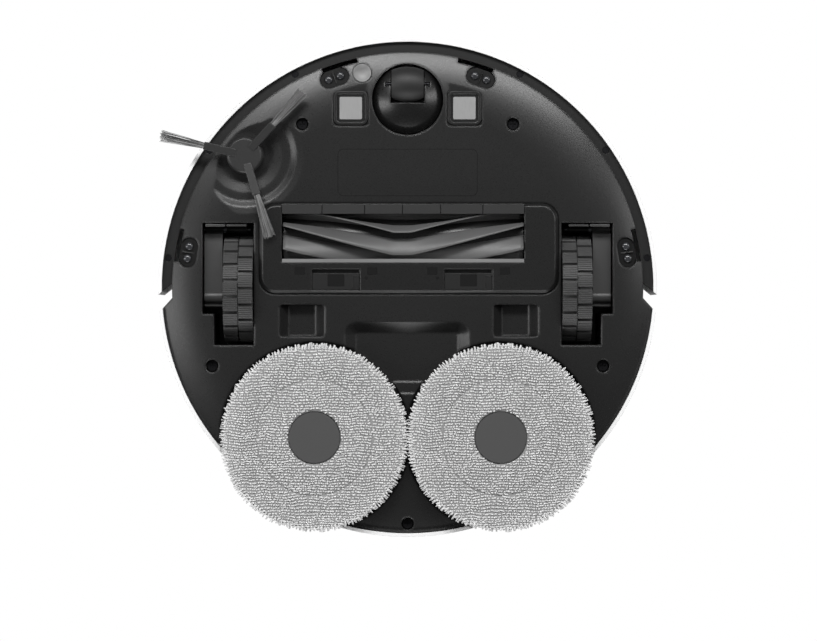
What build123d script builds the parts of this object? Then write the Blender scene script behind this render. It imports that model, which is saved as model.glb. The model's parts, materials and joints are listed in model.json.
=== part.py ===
from build123d import *
from math import cos, degrees, hypot, pi, radians, sin, sqrt
import os

# A robot vacuum that also mops. The frame stands on the floor at z = 0, with the origin under
# the middle of the round body, the bumper at the front (-Y) and +X to the robot's left side
# as it lies on its back with the bumper away from the viewer.

# ---------------------------------------------------------------- body
body_radius = 175.0          # outside of the white skin
skin = 2.4                   # wall of the bumper and of the rear shell
skin_gap = 0.3               # between the skin and the chassis wall behind it
base_z = 11.0                # ground clearance
floor_wall = 2.6             # thickness of the chassis floor
flat_radius = 128.0          # the floor curves up outside this radius
border_arc = 117.0           # radius of that curve, seen from the side
body_top = 85.0              # height of the top face without the turret
cover_wall = 2.5
cover_edge = 1.5             # chamfer round the top face
top_gap = 0.3                # under the top cover
frame_wall = 2.3             # plate of the upper frame
skin_bottom = 17.0           # lower edge of the white skin

# ---------------------------------------------------------------- bumper
lip_inner = 165.0            # inner edge of the dark band under the bumper
lip_z = 20.1
lip_wall = 2.4
ledge_radius = 165.4         # front edge of the chassis floor
front_wall_out = 160.5       # chassis wall behind the bumper
wall = 2.2                   # general wall of the chassis
notch_inner = 165.0          # the gap between bumper and rear shell stops here
notch_front = -3.7
notch_rear = 7.1
notch_slant = 6.7            # how far back the slanted faces run
notch_slant_width = 6.3
bumper_slant = 6.6
bumper_slant_width = 7.9
bumper_screw_radius = 169.4
bumper_screw_angles = (27.8, 55.3, 83.0)
slot_inner = 161.8           # dark slots cut in the edge of the floor
slot_spans = ((17.0, 9.0), (79.5, 8.0))
window_half = 46.0
window_z = (38.0, 62.0)

# ---------------------------------------------------------------- fits
shaft_fit = 0.05             # radial clearance of a shaft in its bore
slide_gap = 0.3              # between bodies that slide past each other
seat_gap = 0.3               # between a covered piece and what carries it

# ---------------------------------------------------------------- caster
caster_y = -131.8
caster_socket_r = 24.9
caster_socket_wall = 1.3
caster_fork_r = 24.2
caster_trail = 10.6
caster_wheel_r = 12.2
caster_wheel_width = 22.5
caster_crown = 2.4           # the wheel is barrel shaped
caster_dome_drop = 9.0
caster_fork_bottom = 7.0
caster_fork_top = 28.0
caster_stem_r = 4.0
caster_stem_length = 12.0
caster_axle_r = 1.5

# ---------------------------------------------------------------- drive wheels
wheel_r = 37.5
wheel_y = 1.0
wheel_x = (108.4, 129.0)     # inner and outer face of the tyre
hub_r = 29.0
tread_depth = 2.6
lug_count = 20
row_width = 9.8
lug_share = 0.62             # share of the pitch that a lug fills
axle_r = 3.0
arm_x = (130.2, 143.0)
arm_front = 3.4              # radius of the hinge barrel
arm_z = (24.0, 49.0)
arm_rear = 14.5
arm_boss_y = 6.5
arm_boss_r = 4.5
pivot_y = -41.3
pivot_z = 38.0
pivot_pin_r = 1.5
barrel_x = (113.0, 127.8)
well_x = (107.7, 143.8)
well_y = (-45.3, 18.4)
well_tail_x = 135.5
well_tail_y = 40.3
well_wall = 1.8
well_top = 80.7

# ---------------------------------------------------------------- main brush and its cover
brush_y = -35.5
brush_z = 24.5
brush_r = 21.3
brush_core_r = 13.0
brush_x = (-87.0, 81.0)
blade_count = 6
blade_wall = 2.2
blade_sweep = 38.0           # how far a blade turns from the middle to its end, in degrees
blade_flat = 6.0
brush_mid = -3.7
brush_pin_r = 3.0
brush_pin_length = 5.0
cover_x = (-103.7, 105.3)
cover_y = (-58.8, 4.1)
cover_z = (7.5, 13.3)
cover_corner = 11.5
cover_gap = 0.35             # line round the cover
cover_window_x = (-88.0, 81.7)
brush_gap = 0.6              # round the turning brush
flap_slits = (-59.8, -30.0, -3.6, 23.1, 52.6)
flap_y = (-57.7, -51.5)
flap_z = (6.9, 9.7)
slit = 0.6
strip_y = (-19.9, -17.4)
strip_z = (6.8, 9.2)
latch_x = (-50.1, 42.6)
latch_width = 33.0
latch_pocket = (11.5, 7.0)   # finger pocket in the latch
latch_y = (-9.9, 1.6)
latch_travel = 2.5
latch_z = (7.9, 10.6)
chamber_x = 105.6
chamber_y = (-61.0, 6.8)
chamber_top = 50.0
chamber_r = 23.6
duct_half = 27.0
duct_y = 19.8
duct_top = 78.0
duct_mouth_z = (36.0, 44.0)  # where the duct leaves the brush chamber
bin_mouth_z = (60.0, 74.0)   # where it enters the dust bin

# ---------------------------------------------------------------- side brush
side_x = -113.8
side_y = -92.4
side_hub_r = 13.2
side_socket_r = 16.5
side_bowl_rings = ((41.0, 0.0), (36.0, 0.7), (32.0, 2.6), (26.0, 3.0))  # radius and depth of the dish
side_bowl_depth = 5.0
side_arm_angles = (73.0, 193.0, 313.0)
side_arm_end = 29.0
side_arm_width = 5.6
side_reach = 60.6
side_shaft_r = 3.0
side_motor_r = 11.3

# ---------------------------------------------------------------- sensors and contacts
sensor_radius = 155.7
front_sensor_angle = 19.2
side_sensor_angle = 80.9
sensor_length = 21.0
sensor_width = 12.3
sensor_wall = 1.3
lens_r = 3.0
lens_pitch = 8.6
dish_x = -31.8
dish_y = -150.4
dish_r = 6.4
contact_x = 39.8
contact_y = -125.6
contact_side = 15.7
contact_recess = 24.6
contact_depth = 1.4

# ---------------------------------------------------------------- underside hollows
hook_x = ((-90.0, -58.0), (59.8, 91.7))
hook_y = (12.0, 34.3)
hook_depth = 9.0
hook_slope = 6.5             # how far each side wall leans in
recess_x = (-44.0, 43.0)
recess_y = (24.0, 74.0)
recess_depth = 7.0
recess_taper = 48.0
bay_depth = 7.0
seam_middle = (137.6, 89.5)  # line between the rear panel and the middle of the floor
seam_angle = 30.7
seam_cut = (17.0, 0.8, 1.6)
screw_spots = ((73.8, -114.5), (-73.8, -114.5), (137.0, 55.0), (-137.0, 55.0), (0.0, 165.8))
screw_recess_r = 4.35
screw_head_r = 3.5
screw_head_z = 2.4
screw_shank_r = 1.5
screw_seat = 6.0
screw_length = 17.0
post_r = 6.2

# ---------------------------------------------------------------- mops
mop_x = 65.0
mop_y = 104.8
pad_r = 64.6
pad_thick = 6.0
holder_wall = 3.0
holder_r = 60.0
cap_r = 17.8
cap_recess = 0.8
bay_r = 67.0
mop_shaft_r = 4.0
carriage_z = 21.2
carriage_wall = 4.0
gearbox_r = 20.0
gearbox_height = 18.8
guide_r = 2.5
guide_y = (91.0, 119.0)

# ---------------------------------------------------------------- top side
lid_half = 82.0
lid_y = (18.6, 150.0)
lid_corner = 14.0
lid_gap = 0.5
lid_pin_r = 0.7
lid_pin_length = 3.0
tub_floor = 53.4
tub_wall = 2.0
bin_y = (23.0, 82.0)
tank_y = (84.0, 144.8)
box_half = 79.0
box_top = 81.6
lidar_y = -36.5
lidar_hole_r = 38.0
lidar_head_r = 31.0
turret_r = 47.0
turret_top = 100.0
turret_cap_wall = 3.4
turret_ring_z = (85.0, 90.0)
turret_posts = 6
turret_post_r = 1.9
turret_travel = 1.5
button_x = 14.0
button_y = -112.0
button_r = 7.0
button_travel = 0.8

# ---------------------------------------------------------------- inner modules
battery_half = 45.0
battery_y = (-102.5, -62.5)
battery_height = 22.0
board_half = 60.0
board_y = (-118.0, -64.0)
board_z = 50.0
board_wall = 1.6
fan_y = 51.5
fan_r = 30.0
fan_height = 25.0
fan_wall = 2.0
fan_inlet_r = 20.0
speaker_x = 80.0
speaker_y = -84.0
speaker_r = 12.3

cover_under = body_top - cover_wall
frame_top = cover_under - 0.2
frame_bottom = frame_top - frame_wall
chassis_r = body_radius - skin - skin_gap
roof = base_z + bay_depth
floor_in = base_z + floor_wall


# ---------------------------------------------------------------- helpers
def disc(r, z0, z1, x=0.0, y=0.0):
    return Pos(x, y, (z0 + z1) / 2) * Cylinder(r, z1 - z0)


def ring(r_out, r_in, z0, z1, x=0.0, y=0.0):
    return disc(r_out, z0, z1, x, y) - disc(r_in, z0 - 1, z1 + 1, x, y)


def rod(r, x0, x1, y, z):
    return Pos((x0 + x1) / 2, y, z) * Rot(0, 90, 0) * Cylinder(r, abs(x1 - x0))


def block(x0, x1, y0, y1, z0, z1, corner=0.0):
    shape = Pos((x0 + x1) / 2, (y0 + y1) / 2, z0) * Box(
        abs(x1 - x0), abs(y1 - y0), z1 - z0, align=(Align.CENTER, Align.CENTER, Align.MIN)
    )
    if corner > 0:
        shape = fillet(shape.edges().filter_by(Axis.Z), corner)
    return shape


def prism(points, z0, z1):
    return Pos(0, 0, z0) * extrude(make_face(Polyline(*points, close=True)), z1 - z0)


def other_side(shape):
    return mirror(shape, about=Plane.YZ)


def both_sides(shape):
    return shape + other_side(shape)


def tapered(x0, x1, y0, y1, depth, taper, corner):
    """A hollow that narrows as it goes up from the underside."""
    outline = Pos((x0 + x1) / 2, (y0 + y1) / 2) * RectangleRounded(x1 - x0, y1 - y0, corner)
    return Pos(0, 0, base_z) * extrude(outline, depth, taper=taper)


def hook_pocket(x0, x1):
    """A pocket with leaning side walls and a flat roof."""
    roof_z = base_z + hook_depth
    outline = Polyline(
        (x0, base_z - 1), (x1, base_z - 1), (x1, base_z), (x1 - hook_slope, roof_z),
        (x0 + hook_slope, roof_z), (x0, base_z), close=True,
    )
    pocket = extrude(Plane.XZ * make_face(outline), hook_y[1] - hook_y[0])
    return Pos(0, hook_y[1], 0) * pocket & block(x0, x1, *hook_y, base_z - 1, roof_z, 3.0)


def above(offset, r):
    """Everything over the underside of the body, raised by an offset, out to radius r."""
    z = base_z + offset
    middle = (flat_radius + r) / 2
    border = ThreePointArc(
        (flat_radius, 0, z), (middle, 0, underside_z(middle, 0) + offset), (r, 0, underside_z(r, 0) + offset)
    )
    rest = Polyline(
        (r, 0, underside_z(r, 0) + offset), (r, 0, body_top), (0, 0, body_top), (0, 0, z), (flat_radius, 0, z)
    )
    return revolve(make_face(border + rest), Axis.Z)


def underside_z(x, y):
    outside = max(0.0, hypot(x, y) - flat_radius)
    return base_z + border_arc - sqrt(border_arc ** 2 - outside ** 2)


def front_at(radius, angle):
    """A point at an angle from straight ahead, positive towards +X."""
    return radius * sin(radians(angle)), -radius * cos(radians(angle))


def arc_piece(r_out, r_in, z0, z1, angle, half_angle):
    """A piece of a ring, centred at an angle from straight ahead."""
    reach = r_out * 1.5
    left = front_at(reach, angle - half_angle)
    right = front_at(reach, angle + half_angle)
    wedge = prism([(0, 0), left, right], z0, z1)
    return ring(r_out, r_in, z0, z1) & wedge


def save(shape, name):
    shapes = shape if isinstance(shape, (list, tuple)) else [shape]
    solids = [solid for item in shapes for solid in item.solids()]
    export_step(Compound(children=solids), f"parts/{name}.step")


# ---------------------------------------------------------------- chassis
def rear_side(z0, z1):
    """What lies behind the notches: the region of the rear shell."""
    far = body_radius + 20
    slant_x = notch_inner + notch_slant_width
    slant_y = notch_rear + notch_slant
    out_y = slant_y + (far - slant_x) * notch_slant / notch_slant_width
    edge = [(0, notch_rear), (notch_inner, notch_rear), (slant_x, slant_y), (far, out_y), (far, far)]
    return both_sides(prism(edge + [(0, far)], z0, z1))


def bumper_side(z0, z1):
    """What lies ahead of the notches: the region of the bumper."""
    far = body_radius + 20
    start_x = notch_inner - 0.4
    out_y = notch_front + (far - start_x) * bumper_slant / bumper_slant_width
    edge = [(0, notch_front), (start_x, notch_front), (far, out_y), (far, -far)]
    return both_sides(prism(edge + [(0, -far)], z0, z1))


def brush_opening():
    return block(
        cover_x[0] - cover_gap, cover_x[1] + cover_gap, cover_y[0] - cover_gap, cover_y[1] + cover_gap,
        base_z - 5, floor_in + 5, cover_corner,
    )


def well_opening(grow, z0, z1):
    """The L-shaped hollow of one drive wheel, on the +X side, grown by a wall."""
    front = block(well_x[0] - grow, well_x[1] + grow, well_y[0] - grow, well_y[1] + grow, z0, z1)
    tail = block(well_x[0] - grow, well_tail_x + grow, 0, well_tail_y + grow, z0, z1)
    return front + tail


def mop_bays(grow):
    bay = disc(bay_r + grow, base_z - 5, roof + grow, mop_x, mop_y)
    return both_sides(bay)


def sensor_outline(angle, grow, z0, z1):
    x, y = front_at(sensor_radius, angle)
    slot = SlotOverall(sensor_length + 2 * grow, sensor_width + 2 * grow)
    return Pos(x, y, z0) * Rot(0, 0, angle) * extrude(slot, z1 - z0)


def sensor_sockets(grow, z0, z1):
    front = sensor_outline(front_sensor_angle, grow, z0, z1)
    side = sensor_outline(side_sensor_angle, grow, z0, z1)
    return both_sides(front + side)


def contact_channels():
    recess = block(
        contact_x - contact_recess / 2, contact_x + contact_recess / 2,
        contact_y - contact_recess / 2, contact_y + contact_recess / 2,
        base_z - 1, base_z + contact_depth, 3.0,
    )
    lead = block(
        contact_x - contact_recess / 2 + 1, contact_x + contact_recess / 2 - 1,
        -ledge_radius, contact_y, base_z - 1, base_z + contact_depth,
    )
    return both_sides(recess + lead)


def side_bowl(grow):
    """The dish round the side brush: an outer ring, a crease and a deeper inner ring."""
    rim = side_bowl_rings[0][0] + grow
    slope = [(r + grow, base_z + grow + depth) for r, depth in side_bowl_rings[1:]]
    floor_z = base_z + grow + side_bowl_depth
    outline = [(0, 0), (rim, 0), (rim, base_z)] + slope + [(side_socket_r + grow, floor_z), (0, floor_z)]
    return Pos(side_x, side_y, 0) * revolve(Plane.XZ * make_face(Polyline(*outline, close=True)), Axis.Z)


def base_plate():
    """The chassis floor with its hollows, the wall behind the bumper and the rear wall."""
    inner = above(floor_wall, chassis_r + 5)
    hollows_out = mop_bays(floor_wall)
    hollows = mop_bays(0)
    for x0, x1 in hook_x:
        hollows_out += block(
            x0 - wall, x1 + wall, hook_y[0] - wall, hook_y[1] + wall,
            base_z, base_z + hook_depth + wall, 4.0,
        )
        hollows += hook_pocket(x0, x1)
    hollows_out += block(*recess_x, *recess_y, base_z, base_z + recess_depth + floor_wall, 6.0)
    hollows += tapered(*recess_x, *recess_y, recess_depth, recess_taper, 9.0)
    hollows_out += side_bowl(floor_wall) - block(-chamber_x, chamber_x, *chamber_y, floor_in, roof + wall)
    hollows += side_bowl(0)
    socket_wall = sensor_sockets(sensor_wall, base_z, lip_z - slide_gap)
    plate = above(0, chassis_r) - (inner - hollows_out - socket_wall)
    plate &= disc(chassis_r, 0, roof + 12)
    plate = plate & (disc(ledge_radius, 0, 60) + rear_side(0, 60))
    plate -= ring(chassis_r + 5, chassis_r - 6, floor_in + 9.5, 60)
    for x, y in screw_spots:
        seat_z = underside_z(x, y) + screw_seat
        plate += disc(post_r, underside_z(x, y) + 0.8, seat_z + 6, x, y) & above(0, chassis_r)
        plate -= disc(screw_recess_r, 0, seat_z, x, y)
        plate -= disc(screw_shank_r + shaft_fit, 0, 60, x, y)
    for x, y in ((55.0, -112.0), (55.0, -68.0)):
        plate += both_sides(disc(3.0, base_z + 1, board_z, x, y))
    for y in guide_y:
        plate += disc(guide_r, roof + 1, carriage_z + 30, 0, y)
    plate -= hollows
    plate -= brush_opening()
    plate -= both_sides(well_opening(0, -5, 30))
    plate -= disc(caster_socket_r, 0, 60, 0, caster_y)
    plate -= sensor_sockets(0, 0, roof + 6)
    plate -= disc(dish_r, 0, 60, dish_x, dish_y)
    plate -= contact_channels()
    plate -= both_sides(disc(mop_shaft_r + 3, 0, 60, mop_x, mop_y))
    plate -= disc(side_shaft_r + 3, 0, 60, side_x, side_y)
    for angle, half in slot_spans:
        plate -= both_sides(arc_piece(ledge_radius + 1, slot_inner, 0, 24, angle, half / 2))
    plate -= both_sides(Pos(*seam_middle, base_z) * Rot(0, 0, seam_angle) * Box(*seam_cut))
    return plate


def chassis_wall():
    """The upright wall on the floor: set back behind the bumper, full width at the rear."""
    front_wall = ring(front_wall_out, front_wall_out - wall, base_z + 5, frame_bottom - top_gap)
    front_wall -= rear_side(0, 90)
    rear_wall = ring(chassis_r, chassis_r - wall, base_z + 5, cover_under - top_gap) & rear_side(0, 90)
    step = block(front_wall_out - wall, chassis_r - 4, 0, wall, base_z + 5, frame_bottom - top_gap)
    step = Pos(0, notch_rear + notch_slant + 2, 0) * step
    walls = front_wall + rear_wall + both_sides(step)
    walls = walls & above(floor_wall, chassis_r)
    walls -= mop_bays(floor_wall)
    walls -= side_bowl(floor_wall)
    walls -= sensor_sockets(sensor_wall, 0, lip_z)
    walls -= disc(dish_r, 0, lip_z, dish_x, dish_y)
    for x, y in screw_spots:
        walls -= disc(post_r, 0, underside_z(x, y) + screw_seat + 6, x, y)
    return walls


def caster_socket():
    cup = disc(caster_socket_r + caster_socket_wall, base_z, caster_fork_top + seat_gap + wall, 0, caster_y)
    cup -= disc(caster_socket_r, 0, caster_fork_top + seat_gap, 0, caster_y)
    cup += disc(caster_stem_r + 4, caster_fork_top + 1, caster_fork_top + caster_stem_length + 2, 0, caster_y)
    cup -= disc(caster_stem_r + shaft_fit, 0, caster_fork_top + caster_stem_length + 0.5, 0, caster_y)
    return cup & above(floor_wall, flat_radius + 40)


def brush_chamber():
    """The housing over the main brush."""
    shell = block(-chamber_x, chamber_x, chamber_y[0], chamber_y[1], floor_in, chamber_top, 5.0)
    cavity = rod(chamber_r, cover_window_x[0] - 3, cover_window_x[1] + 4, brush_y, brush_z)
    cavity += block(
        cover_window_x[0] - 3, cover_window_x[1] + 4,
        brush_y - chamber_r, brush_y + chamber_r, 0, brush_z,
    )
    cavity += block(-duct_half + wall, duct_half - wall, brush_y, chamber_y[1] + 1, *duct_mouth_z)
    bores = rod(brush_pin_r + shaft_fit, cover_window_x[0] - 9, cover_window_x[1] + 10, brush_y, brush_z)
    return shell - cavity - bores


def dust_duct():
    """The duct that leads from the brush chamber up to the dust bin."""
    half = duct_half - wall
    shell = block(-duct_half, duct_half, chamber_y[1], duct_y, duct_mouth_z[0] - wall, duct_top)
    shell -= block(-half, half, chamber_y[1] + wall, duct_y - wall, duct_mouth_z[0], duct_top - wall)
    shell -= block(-half, half, chamber_y[1] - 1, duct_y - wall, *duct_mouth_z)
    return shell - block(-half, half, chamber_y[1] + wall, duct_y + 1, *bin_mouth_z)


def wheel_well():
    shell = well_opening(well_wall, floor_in, well_top + 1.6) - well_opening(0, 0, well_top)
    barrel = rod(arm_front, barrel_x[0], barrel_x[1], pivot_y, pivot_z)
    barrel += block(barrel_x[0], barrel_x[1], well_y[0] - 0.5, pivot_y, pivot_z - 2, pivot_z + 2)
    pin_hole = rod(pivot_pin_r + shaft_fit, well_x[0] + 1, well_x[1], pivot_y, pivot_z)
    return (shell + barrel - pin_hole) & above(floor_wall, chassis_r)


def suspension_pins():
    pin = rod(pivot_pin_r, barrel_x[0] - 2, well_x[1] - 0.05, pivot_y, pivot_z)
    return [pin, other_side(pin)]


def suspension_springs():
    """Torsion springs between the two halves of each hinge barrel."""
    x0 = barrel_x[1] + 0.1
    x1 = arm_x[0] - 0.4
    coil = rod(arm_front - 0.2, x0, x1, pivot_y, pivot_z)
    coil -= rod(pivot_pin_r + shaft_fit, x0 - 1, x1 + 1, pivot_y, pivot_z)
    return [coil, other_side(coil)]


def charge_contacts():
    half = contact_side / 2
    z0 = base_z + contact_depth - 0.8
    plate = block(
        contact_x - half, contact_x + half, contact_y - half, contact_y + half,
        z0, base_z + contact_depth, 1.0,
    )
    return [plate, other_side(plate)]


def cliff_sensors():
    """Oval sensor blocks, set a little into the rising border."""
    blocks = sensor_sockets(-0.15, base_z, lip_z - slide_gap) & above(1.2, chassis_r)
    lenses = cliff_lens_cutters(0)
    return list((blocks - lenses).solids())


def cliff_lens_cutters(shrink):
    tools = Part()
    for angle in (front_sensor_angle, side_sensor_angle):
        x, y = front_at(sensor_radius, angle)
        for side in (-1, 1):
            spot = Pos(x, y, 0) * Rot(0, 0, angle) * Pos(side * lens_pitch / 2, 0, roof / 2 + 6)
            tools += both_sides(spot * Cylinder(lens_r - shrink, roof))
    return tools & above(-2, chassis_r)


def cliff_lenses():
    lenses = cliff_lens_cutters(0.05) & above(0.8, chassis_r) & disc(chassis_r, 0, lip_z - slide_gap)
    return list(lenses.solids())


def carpet_sensor():
    body = disc(dish_r - 0.15, base_z, lip_z - slide_gap, dish_x, dish_y) & above(0.9, chassis_r)
    return body - Pos(dish_x, dish_y, base_z - 3.5) * Sphere(dish_r + 1.5)


def chassis_screws():
    screws = []
    for x, y in screw_spots:
        seat_z = underside_z(x, y) + screw_seat
        head = disc(screw_head_r, seat_z - screw_head_z, seat_z, x, y)
        cross = Pos(x, y, seat_z - screw_head_z) * (Box(4.2, 0.9, 2.0) + Box(0.9, 4.2, 2.0))
        screws.append(head - cross + disc(screw_shank_r, seat_z, seat_z + screw_length, x, y))
    return screws


def tub_outline(grow, z0, z1):
    half = box_half + 0.4 + grow
    return block(-half, half, duct_y + 0.2 + tub_wall - grow, tank_y[1] + 1 + grow, z0, z1)


def upper_frame():
    """The plate under the top cover."""
    plate = disc(front_wall_out, frame_bottom, frame_top)
    plate += disc(chassis_r - wall - 0.4, frame_bottom, frame_top) & rear_side(0, 90)
    plate -= tub_outline(tub_wall, 0, 90)
    plate -= block(-duct_half - 0.3, duct_half + 0.3, 0, duct_y + 1, frame_bottom - 9, 90)
    plate -= both_sides(well_opening(well_wall + 0.3, 60, 90))
    plate -= disc(lidar_hole_r, 60, 90, 0, lidar_y)
    for x, y in screw_spots:
        top = underside_z(x, y) + screw_seat + 6
        plate += disc(4.0, top + 0.05, frame_top, x, y)
        plate -= disc(screw_shank_r + shaft_fit, 0, top + screw_length, x, y)
    return plate


def box_tub():
    """The tub that holds the dust bin and the water tank, hung in the upper frame."""
    tub = tub_outline(tub_wall, tub_floor, frame_top) - tub_outline(0, tub_floor + tub_wall, 90)
    tub -= block(-duct_half + wall, duct_half - wall, 0, duct_y + 5, *bin_mouth_z)
    return tub - disc(fan_inlet_r, 0, 60, 0, fan_y)


def lid_outline(grow, z0, z1):
    return block(-lid_half - grow, lid_half + grow, lid_y[0] - grow, lid_y[1] + grow, z0, z1)


def notch_cut(z0, z1):
    """The two gaps at the sides, between the bumper and the rear shell."""
    band = ring(body_radius + 20, notch_inner, z0, z1)
    return band - rear_side(z0 - 1, z1 + 1) - bumper_side(z0 - 1, z1 + 1)


def top_cover():
    cover = disc(body_radius, cover_under, body_top)
    cover = chamfer(cover.edges().sort_by(Axis.Z)[-1], cover_edge)
    cover -= lid_outline(lid_gap, 70, 90)
    cover -= disc(lidar_hole_r, 70, 90, 0, lidar_y)
    for x in (-button_x, button_x):
        cover -= disc(button_r + 0.2, 70, 90, x, button_y)
    cover -= lid_hinge_hole()
    return cover - notch_cut(70, 90)


def lid_hinge_hole():
    return rod(
        lid_pin_r + shaft_fit, -lid_half - lid_pin_length - 0.5, lid_half + lid_pin_length + 0.5,
        lid_axis()[0], lid_axis()[1],
    )


def lid_axis():
    return lid_y[0] + cover_wall / 2, body_top - cover_wall / 2


def rear_shell():
    shell = ring(body_radius, body_radius - skin, skin_bottom, cover_under - top_gap + 0.1)
    shell = shell & rear_side(0, 90)
    for index in range(9):
        angle = 118.0 + 4.0 * index
        x, y = front_at(body_radius, angle)
        shell -= Pos(x, y, 62) * Rot(0, 0, angle) * Box(5.0, 12.0, 14.0)
    return shell - mop_bays(0)


def main_board():
    y0, y1 = board_y
    board = block(-board_half, board_half, y0, y1, board_z, board_z + board_wall, 3.0)
    top = board_z + board_wall
    chips = [
        block(-20, 4, y0 + 14, y0 + 38, top, top + 2.0),
        block(14, 30, y0 + 18, y0 + 32, top, top + 1.6),
        block(-48, -32, y0 + 8, y0 + 20, top, top + 6.0),
        block(38, 54, y0 + 34, y0 + 44, top, top + 7.0),
    ]
    return [board] + chips


def battery_pack():
    return block(
        -battery_half, battery_half, battery_y[0], battery_y[1], floor_in, floor_in + battery_height, 4.0
    )


def speaker():
    body = disc(speaker_r, floor_in, floor_in + 6, speaker_x, speaker_y)
    return body + disc(speaker_r * 0.6, floor_in + 5, floor_in + 12, speaker_x, speaker_y)


def bumper_switches():
    pieces = []
    for angle in (-62.0, -20.0, 20.0, 62.0):
        pieces.append(arc_piece(front_wall_out + 5, front_wall_out, 44, 52, angle, 2.4))
    return pieces


def dust_bin():
    """An open box with the mouth in front and the air outlet in its floor, and the box's own lid."""
    z0 = tub_floor + tub_wall + 0.05
    lid_z = box_top - tub_wall
    body = block(-box_half, box_half, bin_y[0], bin_y[1], z0, lid_z)
    hollow = block(
        -box_half + tub_wall, box_half - tub_wall, bin_y[0] + tub_wall, bin_y[1] - tub_wall,
        z0 + tub_wall, lid_z + 1,
    )
    mouth = block(-duct_half + wall, duct_half - wall, bin_y[0] - 1, bin_y[0] + 5, *bin_mouth_z)
    outlet = disc(fan_inlet_r - 1, z0 - 1, z0 + 5, 0, fan_y)
    return [body - hollow - mouth - outlet, block(-box_half, box_half, *bin_y, lid_z, box_top, 3.0)]


def dust_filter():
    z0 = tub_floor + 2 * tub_wall + 0.05
    return block(-40, 40, fan_y - 24, fan_y + 24, z0, z0 + 9, 3.0)


def water_tank():
    z0 = tub_floor + tub_wall + 0.05
    return block(-box_half, box_half, tank_y[0], tank_y[1], z0, box_top, 3.0)


def water_pump():
    body = block(-102, -78, 52, 72, roof + floor_wall, roof + floor_wall + 20, 3.0)
    return body + rod(3.0, -112, -101, 62, roof + floor_wall + 14)


def fan_housing():
    z0 = base_z + recess_depth + floor_wall
    shell = disc(fan_r, z0, z0 + fan_height, 0, fan_y)
    shell -= disc(fan_r - fan_wall, z0 + fan_wall, z0 + fan_height - fan_wall, 0, fan_y)
    shell += ring(fan_inlet_r + fan_wall, fan_inlet_r, z0 + fan_height - fan_wall, tub_floor, 0, fan_y)
    shell -= disc(fan_inlet_r, z0 + fan_height - 2 * fan_wall, 60, 0, fan_y)
    shell += disc(9.0, z0 + fan_wall - 0.5, z0 + 9, 0, fan_y)
    return shell - disc(2.0 + shaft_fit, z0 + fan_wall, 60, 0, fan_y)


def fan_impeller():
    z0 = base_z + recess_depth + floor_wall + 9.0 + slide_gap
    wheel = disc(fan_r - fan_wall - 1.5, z0, z0 + 1.6, 0, fan_y)
    wheel += disc(7.0, z0, z0 + 10, 0, fan_y)
    for index in range(9):
        vane = Pos(15.0, 0, z0 + 1.6 + 3.5) * Box(18.0, 1.2, 7.4)
        wheel += Pos(0, fan_y, 0) * Rot(0, 0, 40.0 * index) * vane
    return wheel + disc(2.0, z0 - 6, z0 + 1, 0, fan_y)


def side_brush_motor():
    z0 = base_z + side_bowl_depth + floor_wall
    body = disc(side_motor_r, z0, z0 + 26, side_x, side_y)
    return body - disc(side_shaft_r + shaft_fit, z0 - 1, z0 + 10, side_x, side_y)


def main_brush_motor():
    return rod(12.0, 54, 100, -46, chamber_top + 12.0)


def mop_lift_motor():
    z0 = roof + floor_wall
    return block(-12, 12, guide_y[1] + 6, guide_y[1] + 26, z0, z0 + 24, 2.0)


def lidar_base():
    """The bearing plate under the turret and the fixed ring that the turret cap stands in."""
    y = lidar_y
    pot = ring(lidar_hole_r + 4, lidar_hole_r, frame_bottom - 3, frame_bottom, 0, y)
    pot += disc(lidar_hole_r + 4, frame_bottom - 5.5, frame_bottom - 3, 0, y)
    pot += disc(8.0, frame_bottom - 4, frame_bottom + 1.5, 0, y)
    return pot - disc(3.0 + shaft_fit, 60, 90, 0, y)


def turret_post_spots():
    spots = []
    for index in range(turret_posts):
        angle = radians(360.0 / turret_posts * (index + 0.5))
        spots.append(((turret_r - 4) * cos(angle), lidar_y + (turret_r - 4) * sin(angle)))
    return spots


def turret_ring():
    body = ring(turret_r, lidar_hole_r, turret_ring_z[0], turret_ring_z[1], 0, lidar_y)
    for x, y in turret_post_spots():
        body -= disc(turret_post_r + shaft_fit, turret_ring_z[0] + 0.8, 99, x, y)
    return body


def lidar_cap():
    z0 = turret_top - turret_cap_wall
    cap = disc(turret_r, z0, turret_top, 0, lidar_y)
    cap = fillet(cap.edges().sort_by(Axis.Z)[-1], turret_cap_wall - 0.8)
    for x, y in turret_post_spots():
        cap += disc(turret_post_r, turret_ring_z[0] + 0.8 + turret_travel + 0.3, z0 + 0.5, x, y)
    return cap


def lidar_head():
    z0 = frame_bottom + 1.5 + slide_gap
    z1 = turret_top - turret_cap_wall - turret_travel - 0.6
    head = disc(lidar_head_r, z0, z1, 0, lidar_y)
    for x in (-9.0, 9.0):
        head -= Pos(x, lidar_y - lidar_head_r, z1 - 5) * Rot(90, 0, 0) * Cylinder(4.0, 16)
    return head + disc(3.0, frame_bottom - 5, z0 + 1, 0, lidar_y)


def button(x):
    z0 = frame_top + button_travel + 0.1
    cap = disc(button_r, z0, body_top + 0.6, x, button_y)
    return fillet(cap.edges().sort_by(Axis.Z)[-1], 0.8)


def top_lid():
    """The lid over the dust bin and the water tank, turning on stub pins at its front edge."""
    y, z = lid_axis()
    lid = block(-lid_half, lid_half, y, lid_y[1], cover_under, body_top)
    corners = lid.edges().filter_by(Axis.Z).group_by(Axis.Y)[-1]
    lid = fillet(corners, lid_corner)
    lid += rod(cover_wall / 2, -lid_half, lid_half, y, z)
    lid += rod(lid_pin_r, -lid_half - lid_pin_length, lid_half + lid_pin_length, y, z)
    grip = Pos(0, lid_y[1] - 9, body_top + 8.4) * Sphere(9.4)
    return lid - grip


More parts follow.
